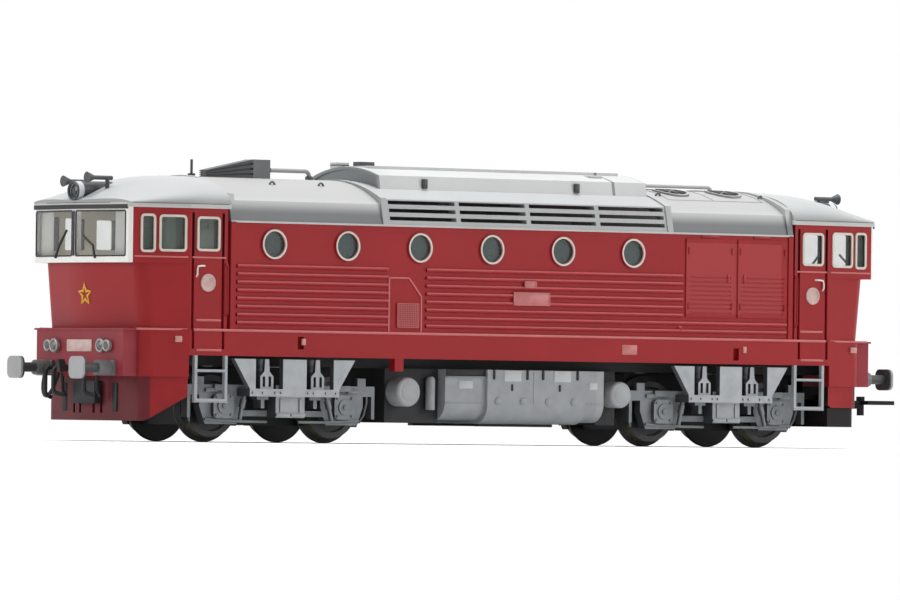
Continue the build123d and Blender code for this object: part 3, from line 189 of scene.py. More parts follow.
def swept(path, outline, closed=False, lift=(0, 0, 1)):
    """An outline carried along a path: point = path + a * side + b * top, where side is square to
    the path and to lift, and top is square to both. The ends of an open path are closed."""
    path, outline = np.asarray(path, float), np.asarray(outline, float)
    ahead = np.roll(path, -1, 0) - np.roll(path, 1, 0) if closed else np.gradient(path, axis=0)
    side = np.cross(ahead, lift)
    side /= np.linalg.norm(side, axis=1, keepdims=True)
    top = np.cross(side, ahead)
    top /= np.linalg.norm(top, axis=1, keepdims=True)
    points = path[:, None] + outline[:, :1] * side[:, None] + outline[:, 1:] * top[:, None]
    rows, columns = points.shape[:2]
    faces = [grid_faces(rows, columns, closed)] + ([] if closed else [end_caps(rows, columns)])
    return points.reshape(-1, 3), faces


def round_bar(radius, sides=12):
    """A circle as an outline: radius * (cos t, sin t)."""
    turn = np.linspace(0, 2 * pi, sides, endpoint=False)
    return radius * np.column_stack((np.cos(turn), np.sin(turn)))


def flat_bar(width, height):
    """A rectangle as an outline, its corners in order."""
    return np.array(((-1, -1), (1, -1), (1, 1), (-1, 1))) * (width / 2, height / 2)


def turned(profile, centre, axis, sides=28):
    """A profile of (along, radius) pairs turned about an axis: point = centre + along * axis
    + radius * (cos t * across + sin t * over)."""
    axis = np.asarray(axis, float)
    across = np.cross(axis, (0, 0, 1) if abs(axis[2]) < 0.9 else (1, 0, 0))
    over = np.cross(axis, across)
    turn = np.linspace(0, 2 * pi, sides, endpoint=False)[None, :, None]
    along, radius = np.asarray(profile, float).T[:, :, None, None]
    points = np.asarray(centre) + along * axis + radius * (np.cos(turn) * across + np.sin(turn) * over)
    rows = len(profile)
    return points.reshape(-1, 3), [grid_faces(rows, sides), end_caps(rows, sides)]


def corner_arcs(steps):
    """Angles and signs of a rounded rectangle's four corners, a quarter turn each."""
    turn = np.linspace(0, pi / 2, steps)[None, :] + np.arange(4)[:, None] * pi / 2
    return turn, np.array(((1, 1), (-1, 1), (-1, -1), (1, -1)))


def slab(centre, size, axis=1, corner=0.15, bevel=0.06, steps=4):
    """A rounded rectangle carried along one axis and drawn in by a bevel at both ends: point =
    centre + outline less the level's draw + level along the axis."""
    flat = [i for i in range(3) if i != axis]
    half = np.asarray(size, float) / 2
    turn, signs = corner_arcs(steps)
    signs = signs[:, None]
    levels = np.array((-half[axis], bevel - half[axis], half[axis] - bevel, half[axis]))
    draw = np.array((bevel, 0, 0, bevel))[:, None, None, None]
    arcs = np.stack((np.cos(turn), np.sin(turn)), -1) * corner
    outline = signs * (half[flat] - corner) + arcs
    outline = (outline[None] - draw * signs[None]).reshape(4, -1, 2)
    points = np.empty((*outline.shape[:2], 3))
    points[..., flat] = outline
    points[..., axis] = levels[:, None]
    rows, columns = outline.shape[:2]
    return points.reshape(-1, 3) + np.asarray(centre), [grid_faces(rows, columns), end_caps(rows, columns)]


def mirrored(shells, *axes):
    """The shells and their mirror images across the plane square to each axis (0 for X, 1 for Y)."""
    for axis in axes:
        flip = np.where(np.arange(3) == axis, -1, 1)
        shells = shells + [(points * flip, faces) for points, faces in shells]
    return shells


def new_piece(name, shells, material, body="loco"):
    """One mesh of closed shells given in mm, faces outward and crisp edges kept, riding on a body."""
    starts = np.cumsum([0] + [len(points) for points, _ in shells])
    blocks = [block + start for (_, faces), start in zip(shells, starts) for block in faces]
    mesh = bpy.data.meshes.new(name)
    mesh.from_pydata(
        (np.concatenate([points for points, _ in shells]) * MM).tolist(), [],
        [face for block in blocks for face in block.tolist()])
    build = bmesh.new()
    build.from_mesh(mesh)
    bmesh.ops.recalc_face_normals(build, faces=build.faces)
    build.to_mesh(mesh)
    build.free()
    mesh.shade_smooth()
    mesh.set_sharp_from_angle(angle=radians(40))
    mesh.materials.append(material)
    piece = bpy.data.objects.new(name, mesh)
    bpy.context.collection.objects.link(piece)
    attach(piece, body)
    return piece


pivot_x, half_base, axle_z = 51.5, 13.8, 6.75
tread_radius, shoe_gap, shoe_depth, shoe_y, shoe_width = 5.85, 0.2, 0.9, 9.0, 1.8
pin_reach, pin_end, pin_z, pin_radius = 5.95, 11.8, 9.3, 0.3
axlebox_face, box_bolt_reach, bolt_sides = 14.2, 1.65, 10
bolt_head = ((-0.1, 0.28), (0.2, 0.28), (0.28, 0.2))
hub_cap = ((0, 0.55), (0.45, 0.55), (0.6, 0.35))
ledge_face, ledge_bolt_z, ledge_bolt_x = 17.4, 9.3, (3.1, 4.4, 7.2, 9.5)
outward_y = (0, 1, 0)
shoe_turn = np.radians(np.linspace(-32, 24, 9))[:, None]
shoe_radius = tread_radius + shoe_gap + shoe_depth / 2
one_corner = []
for facing in (1, -1):
    shoe_path = np.hstack((
        half_base + facing * shoe_radius * np.cos(shoe_turn),
        np.full_like(shoe_turn, shoe_y),
        axle_z + shoe_radius * np.sin(shoe_turn)))
    pin_x, bolt_x = half_base + facing * pin_reach, half_base + facing * box_bolt_reach
    one_corner.append(swept(shoe_path, flat_bar(shoe_depth, shoe_width), lift=outward_y))
    one_corner.append(swept(((pin_x, shoe_y, pin_z), (pin_x, pin_end, pin_z)), round_bar(pin_radius)))
    one_corner += [
        turned(bolt_head, (bolt_x, axlebox_face, axle_z + rise * box_bolt_reach), outward_y, bolt_sides)
        for rise in (1, -1)]
damper = ((9.3, 14.4, 9.0), (10.0, 14.5, 6.4), (10.5, 14.6, 4.2))
damper_sleeve = ((9.55, 14.42, 8.0), (10.0, 14.5, 6.4))
sand_pipe = ((20.2, 12.3, 9.6), (20.3, 12.1, 7.6), (20.1, 11.5, 5.4), (19.4, 10.9, 3.9))
brake_rod = ((3.6, 13.5, 3.9), (9.0, 13.5, 3.9), (17.6, 13.4, 4.3))
beam_block, beam_lug = ((18.5, 12.3, 11.4), (2.0, 1.6, 1.6)), ((16.2, 13.4, 9.7), (2.6, 0.6, 0.7))
box_hood = ((13.8, 13.5, 10.2), (3.6, 0.7, 1.1))
foot_bar, foot_post = ((1.7, 16.05, 5.2), (3.2, 0.5, 0.6)), ((2.2, 16.05, 7.0), (0.5, 0.4, 2.6))
one_corner.append(turned(hub_cap, (half_base, axlebox_face, axle_z), outward_y, 16))
for path, radius in ((damper, 0.42), (damper_sleeve, 0.6), (sand_pipe, 0.3)):
    one_corner.append(swept(path, round_bar(radius), lift=outward_y))
one_corner += [slab(*beam_block, axis=2), slab(*beam_lug), slab(*box_hood)]
one_corner += [turned(bolt_head, (x, ledge_face, ledge_bolt_z), outward_y, bolt_sides) for x in ledge_bolt_x]
one_corner += [swept(brake_rod, round_bar(0.26)), slab(*foot_bar), slab(*foot_post)]
# A black plate over the gears is painted shade that closes the gap above the bogie.
gear_shadow_plate = slab((8.6, 0, 13.9), (17.2, 12.0, 0.4), axis=2)
bogie_trim = mirrored(one_corner, 0, 1) + mirrored([gear_shadow_plate], 0)
for bogie, place in (("bogie_front", -pivot_x), ("bogie_rear", pivot_x)):
    moved = [(points + (place, 0, 0), faces) for points, faces in bogie_trim]
    new_piece(f"{bogie}_trim", moved, running_grey, bogie)

# Fuel tank and drums: grey mouldings hung from the casting. The tank carries clips, knobs,
# seams and lighter plates left blank. Black strips over its small end and under it are painted
# shade that fills the gaps there.
tank_grey = sprayed(
    "tank_grey", (0.30, 0.32, 0.335), 0.5, mottle=0.1, patch=3.0, dust_and_top_light=0.1,
    bands=(("X", 20.9, 30.0, (0.34, 0.355, 0.365)),))
plate_grey = sprayed("plate_grey", (0.47, 0.49, 0.50), 0.45)
finish_nodes(tank_grey, "fuel_tank", "air_drums")
tank_face, small_face, end_face = 15.5, 14.8, 15.0
clip_x, tab_x, knob_x, plate_x = (-3.9, 4.0, 7.7, 15.9), (0.4, 11.7), (-2.9, 3.0, 9.0, 15.1), (0.5, 12.3)
clip_z, tab_z, knob_z, plate_z, seam_z = 13.3, 10.9, 8.3, 13.1, 7.9
knob = ((-0.2, 0.75), (0.15, 0.75), (0.4, 0.45), (0.45, 0.1))
filler = ((-0.3, 0.9), (5.4, 0.9), (5.9, 0.6), (6.0, 0.1))
upward_z = (0, 0, 1)
clips = [slab((x, tank_face, clip_z), (0.45, 0.5, 1.8)) for x in clip_x]
clips += [slab((x, tank_face, tab_z), (0.4, 0.4, 1.3)) for x in tab_x]
seam_bar = round_bar(0.14, 8)
seams = [
    swept(((-14.6, small_face, seam_z), (-5.6, small_face, seam_z)), seam_bar),
    swept(((18.0, end_face, seam_z), (22.4, end_face, seam_z)), seam_bar),
    swept(((5.5, tank_face, 14.0), (5.5, tank_face, 7.8)), seam_bar, lift=outward_y)]
seams += [turned(knob, (x, tank_face, knob_z), outward_y, 16) for x in knob_x]
seams += [slab((-10.1, 14.85, 12.75), (9.3, 0.7, 0.35)), turned(filler, (-17.2, 13.3, 6.8), upward_z, 20)]
plates = [slab((x, tank_face, plate_z), (4.05, 0.3, 2.1)) for x in plate_x]
plates += [slab((-10.0, small_face, 11.3), (3.3, 0.24, 1.4)), slab((20.1, end_face, 11.4), (1.9, 0.24, 1.4))]
shadow_gap = [slab((-10.1, small_face, 13.6), (9.3, 0.3, 1.3)), slab((4.5, 10.5, 3.85), (17.5, 1.6, 0.7))]
drum_cap, drum_x = ((-0.3, 1.7), (0.06, 1.7), (0.12, 1.5), (0.12, 0.1)), (-24.2, 26.0)
drum_caps = [turned(drum_cap, (x, 16.2, 9.8), outward_y) for x in drum_x]
new_piece("tank_clips", mirrored(clips, 1), black_casting)
new_piece("tank_seams", mirrored(seams, 1), tank_grey)
new_piece("tank_plates", mirrored(plates, 1), plate_grey)
new_piece("tank_shadow_gap", mirrored(shadow_gap, 1), black_casting)
new_piece("drum_caps", mirrored(drum_caps, 1), tank_grey)

# Steps: thin plastic ladders clipped under the cab doors, in the same grey as the bogies.
# Each tread has a rolled front edge.
step_grey = sprayed("step_grey", (0.34, 0.36, 0.375), 0.5, dust_and_top_light=0.1)
finish_nodes(step_grey, "cab_steps")
step_x0, step_x1, step_y, step_z = 67.2, 74.0, 17.5, (13.2, 7.7)
tread_edges = [swept(((step_x0, step_y, z), (step_x1, step_y, z)), round_bar(0.16, 8)) for z in step_z]
new_piece("step_edges", mirrored(tread_edges, 0, 1), step_grey)

# Body sides and sills: one plastic moulding with pressed ribs, sprayed satin red. The hatch
# has a raised edge and wire mesh, and the plates are thin etchings glued on, left blank.
loco_red, door_sheen_red, red_shine = (0.285, 0.0135, 0.0165), (0.33, 0.033, 0.036), 0.22
body_red = sprayed("body_red", loco_red, 0.38, mottle=0.05, patch=14.0, dust_and_top_light=0.02, shine=red_shine)
# The side finish paints a pale pink highlight on the upward faces of ribs and fittings, and a lighter red on
# the two raised doors as painted sheen.
side_red_highlit = sprayed(
    "side_red_highlit", loco_red, 0.38, mottle=0.05, patch=14.0, shine=red_shine,
    dust_and_top_light=0.9, dust_and_top_light_colour=(0.85, 0.42, 0.39))
side_tree = side_red_highlit.node_tree
side_spot = axes_on(side_tree)
door_sheen_mask = measured(side_tree, "MULTIPLY", *(
    measured(side_tree, "COMPARE", side_spot[axis], middle * MM, half * MM)
    for axis, middle, half in (("X", 51.9, 11.6), ("Z", 32.3, 6.8))))
repaint(side_red_highlit, door_sheen_mask, door_sheen_red)
finish_nodes(side_red_highlit, "side_wall_near", "side_wall_far")
finish_nodes(body_red, "sill_near", "sill_far")
wall_y, rib_y, sill_y, crown_y = 17.2, 17.5, 17.5, 17.38
hinge_x, hinge_z, hinge_half = (40.9, 51.4, 53.5, 64.3), (27.0, 37.6), 0.6
vent_knob = ((-0.3, 0.55), (0.2, 0.55), (0.4, 0.3), (0.42, 0.05))
fittings = [
    swept(((x, rib_y, z - hinge_half), (x, rib_y, z + hinge_half)), round_bar(0.2, 8), lift=outward_y)
    for x in hinge_x for z in hinge_z]
fittings += [slab((x, rib_y, 32.4), (0.5, 0.3, 1.6)) for x in (50.5, 54.4)]
fittings += [turned(vent_knob, (39.0, wall_y, 22.6), outward_y, 16)]
fittings += [slab((x, wall_y, 40.35), (4.2, 0.5, 0.45)) for x in (46.1, 58.9)]
new_piece("side_fittings", mirrored(fittings, 1), side_red_highlit)
# The rib crowns are round bars in a lighter rose, a painted highlight along each rib's upper edge.
rib_highlight_rose = sprayed("rib_highlight_rose", (0.40, 0.05, 0.055), 0.4)
rib_fields, rib_z = ((-64.9, -30.3, 8), (-21.4, 39.5, 8), (39.5, 64.9, 2)), 22.3 + 1.5 * np.arange(8)
crowns = [
    swept(((x0, crown_y, z), (x1, crown_y, z)), round_bar(0.22, 10))
    for x0, x1, rows in rib_fields for z in rib_z[:rows]]
new_piece("rib_crowns", mirrored(crowns, 1), rib_highlight_rose)
# A lighter rose for the hatch mesh and the cab mouldings; on the hatch edges and the ledge beads it is a
# painted highlight.
rose_and_highlight = sprayed("rose_and_highlight", (0.50, 0.125, 0.125), 0.45)
mesh_x0, mesh_x1, mesh_z0, mesh_z1, mesh_y = -28.1, -23.2, 21.9, 26.3, 17.45
wire, hatch_edge = flat_bar(0.16, 0.14), flat_bar(0.28, 0.34)
hatch_left, hatch_right, hatch_foot, hatch_top = -30.0, -22.5, 21.0, 31.1
hatch = (
    (hatch_left, wall_y, hatch_foot), (hatch_left, wall_y, hatch_top), (-25.4, wall_y, hatch_top),
    (hatch_right, wall_y, 27.7), (hatch_right, wall_y, hatch_foot))
mesh_wires = [
    swept(((x, mesh_y, mesh_z0), (x, mesh_y, mesh_z1)), wire, lift=outward_y)
    for x in np.linspace(mesh_x0, mesh_x1, 13)]
mesh_wires += [
    swept(((mesh_x0, mesh_y, z), (mesh_x1, mesh_y, z)), wire, lift=outward_y)
    for z in np.linspace(mesh_z0, mesh_z1, 12)]
mesh_wires += [swept((a, b), hatch_edge, lift=outward_y) for a, b in zip(hatch, hatch[1:])]
new_piece("hatch_mesh", mirrored(mesh_wires, 1), rose_and_highlight)
# The ledge beads carry the lighter rose as a painted highlight along the sill's top edge.
ledge_z, ledge_end, bead_y = 20.72, 74.6, sill_y - 0.08
beads = [swept(((-ledge_end, bead_y, ledge_z), (ledge_end, bead_y, ledge_z)), round_bar(0.25))]
beads += mirrored([swept(((75.9, 17.15, ledge_z), (86.2, 15.76, ledge_z)), round_bar(0.2))], 0)
new_piece("ledge_beads", mirrored(beads, 1), rose_and_highlight)
socket_rose = sprayed("socket_rose", (0.50, 0.24, 0.22), 0.45)
sockets = [slab((x, sill_y, 18.8), (0.8, 0.5, 1.2)) for x in (-49.7, 54.6)]
sockets += [slab((-77.8, 17.15, 18.95), (1.5, 0.4, 1.1)), slab((82.3, 16.5, 19.1), (1.5, 0.5, 1.1))]
new_piece("lifting_sockets", mirrored(sockets, 1), socket_rose)
plate_rose = sprayed("plate_rose", (0.46, 0.15, 0.145), 0.42, mottle=0.1, patch=1.2)
rim_y, rim_bar = rib_y + 0.17, flat_bar(0.18, 0.14)
plate_shells = [slab((3.2, rib_y, 27.65), (8.5, 0.3, 2.5)), slab((2.9, rib_y, 30.4), (2.8, 0.3, 1.25))]
for x0, x1, z0, z1 in ((-1.0, 7.4, 26.5, 28.8), (1.6, 4.2, 29.85, 30.95)):
    rim = ((x0, rim_y, z0), (x1, rim_y, z0), (x1, rim_y, z1), (x0, rim_y, z1), (x0, rim_y, z0))
    plate_shells += [swept((a, b), rim_bar, lift=outward_y) for a, b in zip(rim, rim[1:])]
plate_shells += [slab((26.75, sill_y, 18.4), (3.6, 0.2, 1.85))]
new_piece("side_plates", mirrored(plate_shells, 1), plate_rose)

# Cab shells: red mouldings that join the sides at the cab door, pale inside. Their inner faces
# under the floor are painted black, and the faces above the window line that look along the
# track are painted near black, both as painted shade. The handrails are bent wire pressed into
# the doors, each door has a bare pale disc, and the nose carries a plain five-pointed outline.
cab_pale, shade_black, jamb_shade = (0.72, 0.68, 0.60), (0.014, 0.012, 0.012), (0.03, 0.022, 0.022)
inward, floor_z, jamb_turn, jamb_x, jamb_z = -4 * MM, 20 * MM, 0.6, 87 * MM, 34.3 * MM
cab_red = sprayed("cab_red", loco_red, 0.38, mottle=0.05, patch=14.0, shine=red_shine)
cab_tree = cab_red.node_tree
cab_spot, cab_facing = axes_on(cab_tree), axes_on(cab_tree, "Normal")
cab_across = measured(cab_tree, "MULTIPLY", cab_facing["Y"], cab_spot["Y"])
cab_inside = measured(cab_tree, "LESS_THAN", cab_across, inward)
cab_under = measured(cab_tree, "LESS_THAN", cab_spot["Z"], floor_z)
jamb_shade_mask = 1.0
for socket, side, limit in (
    (cab_facing["X"], "GREATER_THAN", jamb_turn), (cab_spot["X"], "LESS_THAN", jamb_x),
    (cab_spot["Z"], "GREATER_THAN", jamb_z),
):
    cab_test = measured(cab_tree, side, measured(cab_tree, "ABSOLUTE", socket), limit)
    jamb_shade_mask = measured(cab_tree, "MULTIPLY", cab_test, jamb_shade_mask)
repaint(cab_red, cab_inside, cab_pale)
repaint(cab_red, measured(cab_tree, "MULTIPLY", cab_under, cab_inside), shade_black)
repaint(cab_red, jamb_shade_mask, jamb_shade)
finish_nodes(cab_red, "cab_shell_front", "cab_shell_rear")
along_x, door_x, moulding_z, moulding_bar = (1, 0, 0), 71.2, 34.05, flat_bar(0.3, 0.24)
cab_lines = [
    swept(((67.4, wall_y, moulding_z), (74.9, wall_y, moulding_z)), moulding_bar, lift=outward_y),
    swept(((75.9, 17.15, moulding_z), (86.9, 15.66, moulding_z)), moulding_bar, lift=outward_y),
    slab((door_x, wall_y, 22.5), (5.6, 0.36, 0.4)), slab((door_x, sill_y, 17.0), (5.6, 0.3, 0.4))]
new_piece("cab_mouldings", mirrored(cab_lines, 0, 1), rose_and_highlight)
wire_white = sprayed("wire_white", (0.66, 0.65, 0.62), 0.4)
in_door, handle_y, rail_x, rail_y = 17.1, 17.5, 67.25, 17.75
handle = (
    (72.1, in_door, 32.5), (72.4, handle_y, 32.5), (73.0, handle_y, 32.5), (73.8, handle_y, 32.4),
    (73.95, handle_y, 31.8), (73.95, handle_y, 30.9), (73.95, in_door, 30.5))
rail = ((rail_x, in_door, 23.2), (rail_x, rail_y, 23.8), (rail_x, rail_y, 32.6), (rail_x, in_door, 33.2))
handles = [swept(handle, round_bar(0.17, 8), lift=outward_y)]
rails = [swept(rail, round_bar(0.16, 8), lift=along_x)]
new_piece("door_handles", mirrored(handles, 0, 1), wire_white)
new_piece("door_rails", mirrored(rails, 0, 1), body_red)
disc_pale = sprayed("disc_pale", (0.50, 0.34, 0.31), 0.45, mottle=0.15, patch=1.0)
disc = ((-0.2, 1.65), (0.22, 1.65), (0.28, 1.5), (0.18, 1.35), (0.18, 0.05))
discs = [turned(disc, (71.4, wall_y, 29.4), outward_y, 40)]
new_piece("door_discs", mirrored(discs, 0, 1), disc_pale)
star_gold = sprayed("star_gold", (0.62, 0.30, 0.03), 0.45, shine=0.3)
nose_x, nose_foot, nose_run, nose_lean, nose_bow = 86.3, 20.8, 12.1, 1.2, 80.0
star_mid_z, star_tip, star_dip, star_proud = 27.0, 1.95, 0.80, 0.05
star_turn = np.arange(10) * pi / 5
star_reach = np.where(np.arange(10) % 2 == 0, star_tip, star_dip)
star_y, star_z = star_reach * np.sin(star_turn), star_mid_z + star_reach * np.cos(star_turn)
star_x = nose_x + nose_lean * (star_z - nose_foot) / nose_run - star_y**2 / nose_bow + star_proud
star = swept(np.column_stack((star_x, star_y, star_z)), flat_bar(0.62, 0.2), closed=True, lift=along_x)
new_piece("nose_stars", mirrored([star], 0), star_gold)

# Pilots: ploughs with side skirts, moulded in the same red. Their fronts are painted a much
# darker red and their inward faces black, both as painted shade, while the skirts keep the body
# red. The slots either side are pressed openings.
pilot_shaded_red = sprayed(
    "pilot_shaded_red", (0.115, 0.015, 0.02), 0.5, mottle=0.12, patch=5.0, shine=0.2,
    bands=(("X", 70.0, 83.0, (0.27, 0.0135, 0.0165)),))
pilot_tree = pilot_shaded_red.node_tree


def vector_sum(tree, operation, *values, result="Vector"):
    """Result of a sum on vectors, taken in order."""
    return shading_node(tree, "VectorMath", dict(enumerate(values)), operation=operation).outputs[result]


pilot_turn = vector_sum(
    pilot_tree, "DOT_PRODUCT", place_on(pilot_tree, "Normal"), place_on(pilot_tree), result="Value")
repaint(pilot_shaded_red, measured(pilot_tree, "LESS_THAN", pilot_turn, inward), shade_black)
finish_nodes(pilot_shaded_red, "pilot_front", "pilot_rear")
slots = [slab((85.5, y, 8.1), (0.5, 1.4, 5.2), axis=0) for y in (8.1, -8.1)]
new_piece("pilot_slots", mirrored(slots, 0)[len(slots):], black_casting)

# Window frames: raised rims on the body mouldings, picked out with cream print, and white
# round the windscreens. The porthole rings keep the body's red on their outer edge.
frame_cream = sprayed("frame_cream", (0.58, 0.53, 0.47), 0.45, mottle=0.06, patch=2.0)
screen_white = sprayed("screen_white", (0.80, 0.79, 0.76), 0.45, mottle=0.04, patch=2.0)
ring_cream = sprayed("ring_cream", (0.60, 0.56, 0.50), 0.45, mottle=0.06, patch=2.0)
ring_red, ring_x, ring_z, ring_half_pitch, cream_radius = (0.26, 0.016, 0.02), -56.5, 36.8, 8.4, 2.74
ring_tree = ring_cream.node_tree
ring_place = vector_sum(ring_tree, "SUBTRACT", place_on(ring_tree), (ring_x * MM, 0, ring_z * MM))
ring_spot = shading_node(ring_tree, "SeparateXYZ", {"Vector": ring_place}).outputs
ring_step = measured(ring_tree, "PINGPONG", ring_spot["X"], ring_half_pitch * MM)
ring_flat = shading_node(ring_tree, "CombineXYZ", {"X": ring_step, "Z": ring_spot["Z"]}).outputs["Vector"]
ring_away = vector_sum(ring_tree, "LENGTH", ring_flat, result="Value")
repaint(ring_cream, measured(ring_tree, "GREATER_THAN", ring_away, cream_radius * MM), ring_red)
finish_nodes(frame_cream, "cab_window_frames_front", "cab_window_frames_rear")
finish_nodes(screen_white, "windscreen_frame_front", "windscreen_frame_rear")
finish_nodes(ring_cream, "porthole_rings")


# Glazing: clear polystyrene inserts pressed in from inside. The engine-room panes are
# smoked, and the cab panes are faintly green.
def glazing(name, colour, cover, roughness=0.05):
    """Clear moulding: a thin film of its own colour, with cover as the share that it hides. A broad
    noise dusts the film and dulls its gloss."""
    clear = bpy.data.materials.new(name)
    clear.use_nodes = True
    tree = clear.node_tree
    shader = tree.nodes["Principled BSDF"].inputs
    shader["Base Color"].default_value = (*colour, 1)
    film = noise_on(tree, 4, 2.0)
    ranges = {"Roughness": (roughness, roughness + 0.1), "Alpha": (cover - 0.05, cover + 0.05)}
    for socket, (low, high) in ranges.items():
        tree.links.new(spread(tree, film, to_low=low, to_high=high), shader[socket])
    return clear


finish_nodes(glazing("smoked_pane", (0.075, 0.10, 0.10), 0.82), "porthole_glass")
side_pane = glazing("side_pane", (0.30, 0.36, 0.33), 0.16)
finish_nodes(side_pane, "cab_side_glass_front", "cab_side_glass_rear")
windscreen_pane = glazing("windscreen_pane", (0.5, 0.55, 0.54), 0.08)
finish_nodes(windscreen_pane, "windscreen_glass_front", "windscreen_glass_rear")

# Cab interiors: pale plastic mouldings with desk and seats, a grey bulkhead with a green
# panel and lockers glued to it, and thin strips behind the windscreen posts. The pale plastic
# is given a faint glow, painted light that brightens the cab.
interior_pale = sprayed("interior_pale", (0.66, 0.64, 0.58), 0.55, mottle=0.1, patch=4.0)
painted_glow = interior_pale.node_tree.nodes["Principled BSDF"].inputs
painted_glow["Emission Color"].default_value = (0.92, 0.91, 0.88, 1)
painted_glow["Emission Strength"].default_value = 0.55
finish_nodes(interior_pale, "cab_interior_front", "cab_interior_rear")
bulkhead_grey = sprayed("bulkhead_grey", (0.13, 0.165, 0.15), 0.5, mottle=0.1, patch=4.0)
panel_green = sprayed("panel_green", (0.022, 0.042, 0.033), 0.5, mottle=0.1, patch=4.0)
liner_pale = sprayed("liner_pale", (0.50, 0.49, 0.47), 0.5, mottle=0.1, patch=4.0)
locker_grey = sprayed("locker_grey", (0.05, 0.075, 0.065), 0.5)
bulkheads = [slab((67.9, 0, 38.0), (0.8, 30.4, 9.8), axis=0)]
panels = [slab((68.4, 0, 36.0), (0.4, 17.6, 13.6), axis=0)]
liners = [slab((87.26, y, 38.25), (0.08, 4.5, 8.4), axis=0, bevel=0.02) for y in (12.3, -12.3)]
lockers = [slab((69.35, y, 38.0), (1.7, 3.2, 9.4), axis=2) for y in (-3.4, 9.6)]
lockers += [slab((68.8, -9.4, 39.9), (0.6, 8.0, 1.0)), slab((68.8, 4.0, 40.4), (0.6, 7.0, 0.6))]
new_piece("cab_bulkheads", mirrored(bulkheads, 0), bulkhead_grey)
new_piece("cab_centre_panels", mirrored(panels, 0), panel_green)
new_piece("windscreen_liners", mirrored(liners, 0), liner_pale)
new_piece("cab_lockers", mirrored(lockers, 0), locker_grey)

# Windscreen seals and wipers: black print round each pane, with wipers of bent wire that
# park against the middle post.
rubber = sprayed("rubber", (0.014, 0.014, 0.015), 0.55)
cab_corner, screen_corner, screen_apex = (88.0, 15.5), 88.0, 89.7


def screen_x(y):
    """How far the windscreen storey reaches at this y: straight from the corner to the apex."""
    return screen_apex - (screen_apex - screen_corner) * np.abs(y) / cab_corner[1]


def pane_loop(y0, y1, z0, z1, corner, proud):
    """A rounded rectangle on the windscreen: corner arcs by angle, X from the storey's plan."""
    turn, signs = corner_arcs(5)
    y = ((y0 + y1) / 2 + signs[:, :1] * ((y1 - y0) / 2 - corner) + corner * np.cos(turn)).ravel()
    z = ((z0 + z1) / 2 + signs[:, 1:] * ((z1 - z0) / 2 - corner) + corner * np.sin(turn)).ravel()
    return np.column_stack((screen_x(y) + proud, y, z))


pane_y0, pane_y1, pane_z0, pane_z1, pane_corner, seal_proud = 0.6, 14.5, 34.1, 42.4, 0.3, 0.02
top_bar_proud, top_bar_z, wiper_proud = 0.17, 43.15, 0.2
wiper_far = ((6.7, 33.8), (5.2, 36.0), (2.4, 38.8))
wiper_near = ((-6.25, 33.7), (-5.7, 36.0), (-2.9, 37.8))
seal_path = pane_loop(pane_y0, pane_y1, pane_z0, pane_z1, pane_corner, seal_proud)
wipers = mirrored([swept(seal_path, round_bar(0.14, 8), closed=True, lift=along_x)], 1)
wipers += [slab((screen_apex - 0.05, 0, 38.3), (0.3, 0.55, 8.4), axis=0)]
# The black bar along the top of the windscreens is the top seal together with painted shadow under the brow.
top_y = np.array((-15.2, 0.0, 15.2))
brow_seal_and_shadow = np.column_stack((screen_x(top_y) + top_bar_proud, top_y, np.full(3, top_bar_z)))
wipers += [swept(brow_seal_and_shadow, flat_bar(0.2, 0.8))]
for arm in (wiper_near, wiper_far):
    arm_y, arm_z = np.transpose(arm)
    arm_path = np.column_stack((screen_x(arm_y) + wiper_proud, arm_y, arm_z))
    wipers += [swept(arm_path, round_bar(0.24, 8), lift=along_x)]
new_piece("windscreen_trim", mirrored(wipers, 0), rubber)

# Cab roofs: white domes on a narrow pale grey fascia, with a drip strip along the eave and
# a fine dark line above it that is painted shadow. Their finish is a mid grey, painted shade on
# the sides, that turns paler on faces that look up as painted top light.
fascia_grey, dust_and_top_light_cool, taper_x = (0.50, 0.50, 0.49), (0.58, 0.60, 0.60), 75.4
roof_white = sprayed(
    "roof_white", (0.30, 0.31, 0.31), 0.5, mottle=0.03, dust_and_top_light=0.6, dust_and_top_light_colour=dust_and_top_light_cool,
    bands=(("Z", 43.0, 43.9, fascia_grey),))
shadow_line_grey = sprayed("shadow_line_grey", (0.10, 0.10, 0.10), 0.6)
finish_nodes(roof_white, "cab_roof_front", "cab_roof_rear")


def eave_strip(proud, height):
    """A path round the windscreen storey at one height, from side to side by way of the apex."""
    corner_x, corner_y = cab_corner
    plan = np.array((
        (66.9, wall_y), (75.0, wall_y), (75.8, wall_y), (corner_x - 0.7, corner_y + 0.1),
        (corner_x, corner_y - 0.5), (screen_apex, 0.0)))
    plan = np.vstack((plan, plan[-2::-1] * (1, -1)))
    reach = plan + proud * np.column_stack((plan[:, 0] > taper_x + 3, np.sign(plan[:, 1])))
    return np.column_stack((reach, np.full(len(plan), height)))


drip = [swept(eave_strip(0.2, 43.2)[:4], flat_bar(0.24, 0.24))]
shadow_line = [swept(eave_strip(0.16, 43.9), flat_bar(0.16, 0.12))]
new_piece("cab_drip_strips", mirrored(drip, 0, 1), roof_white)
new_piece("cab_shadow_lines", mirrored(shadow_line, 0), shadow_line_grey)

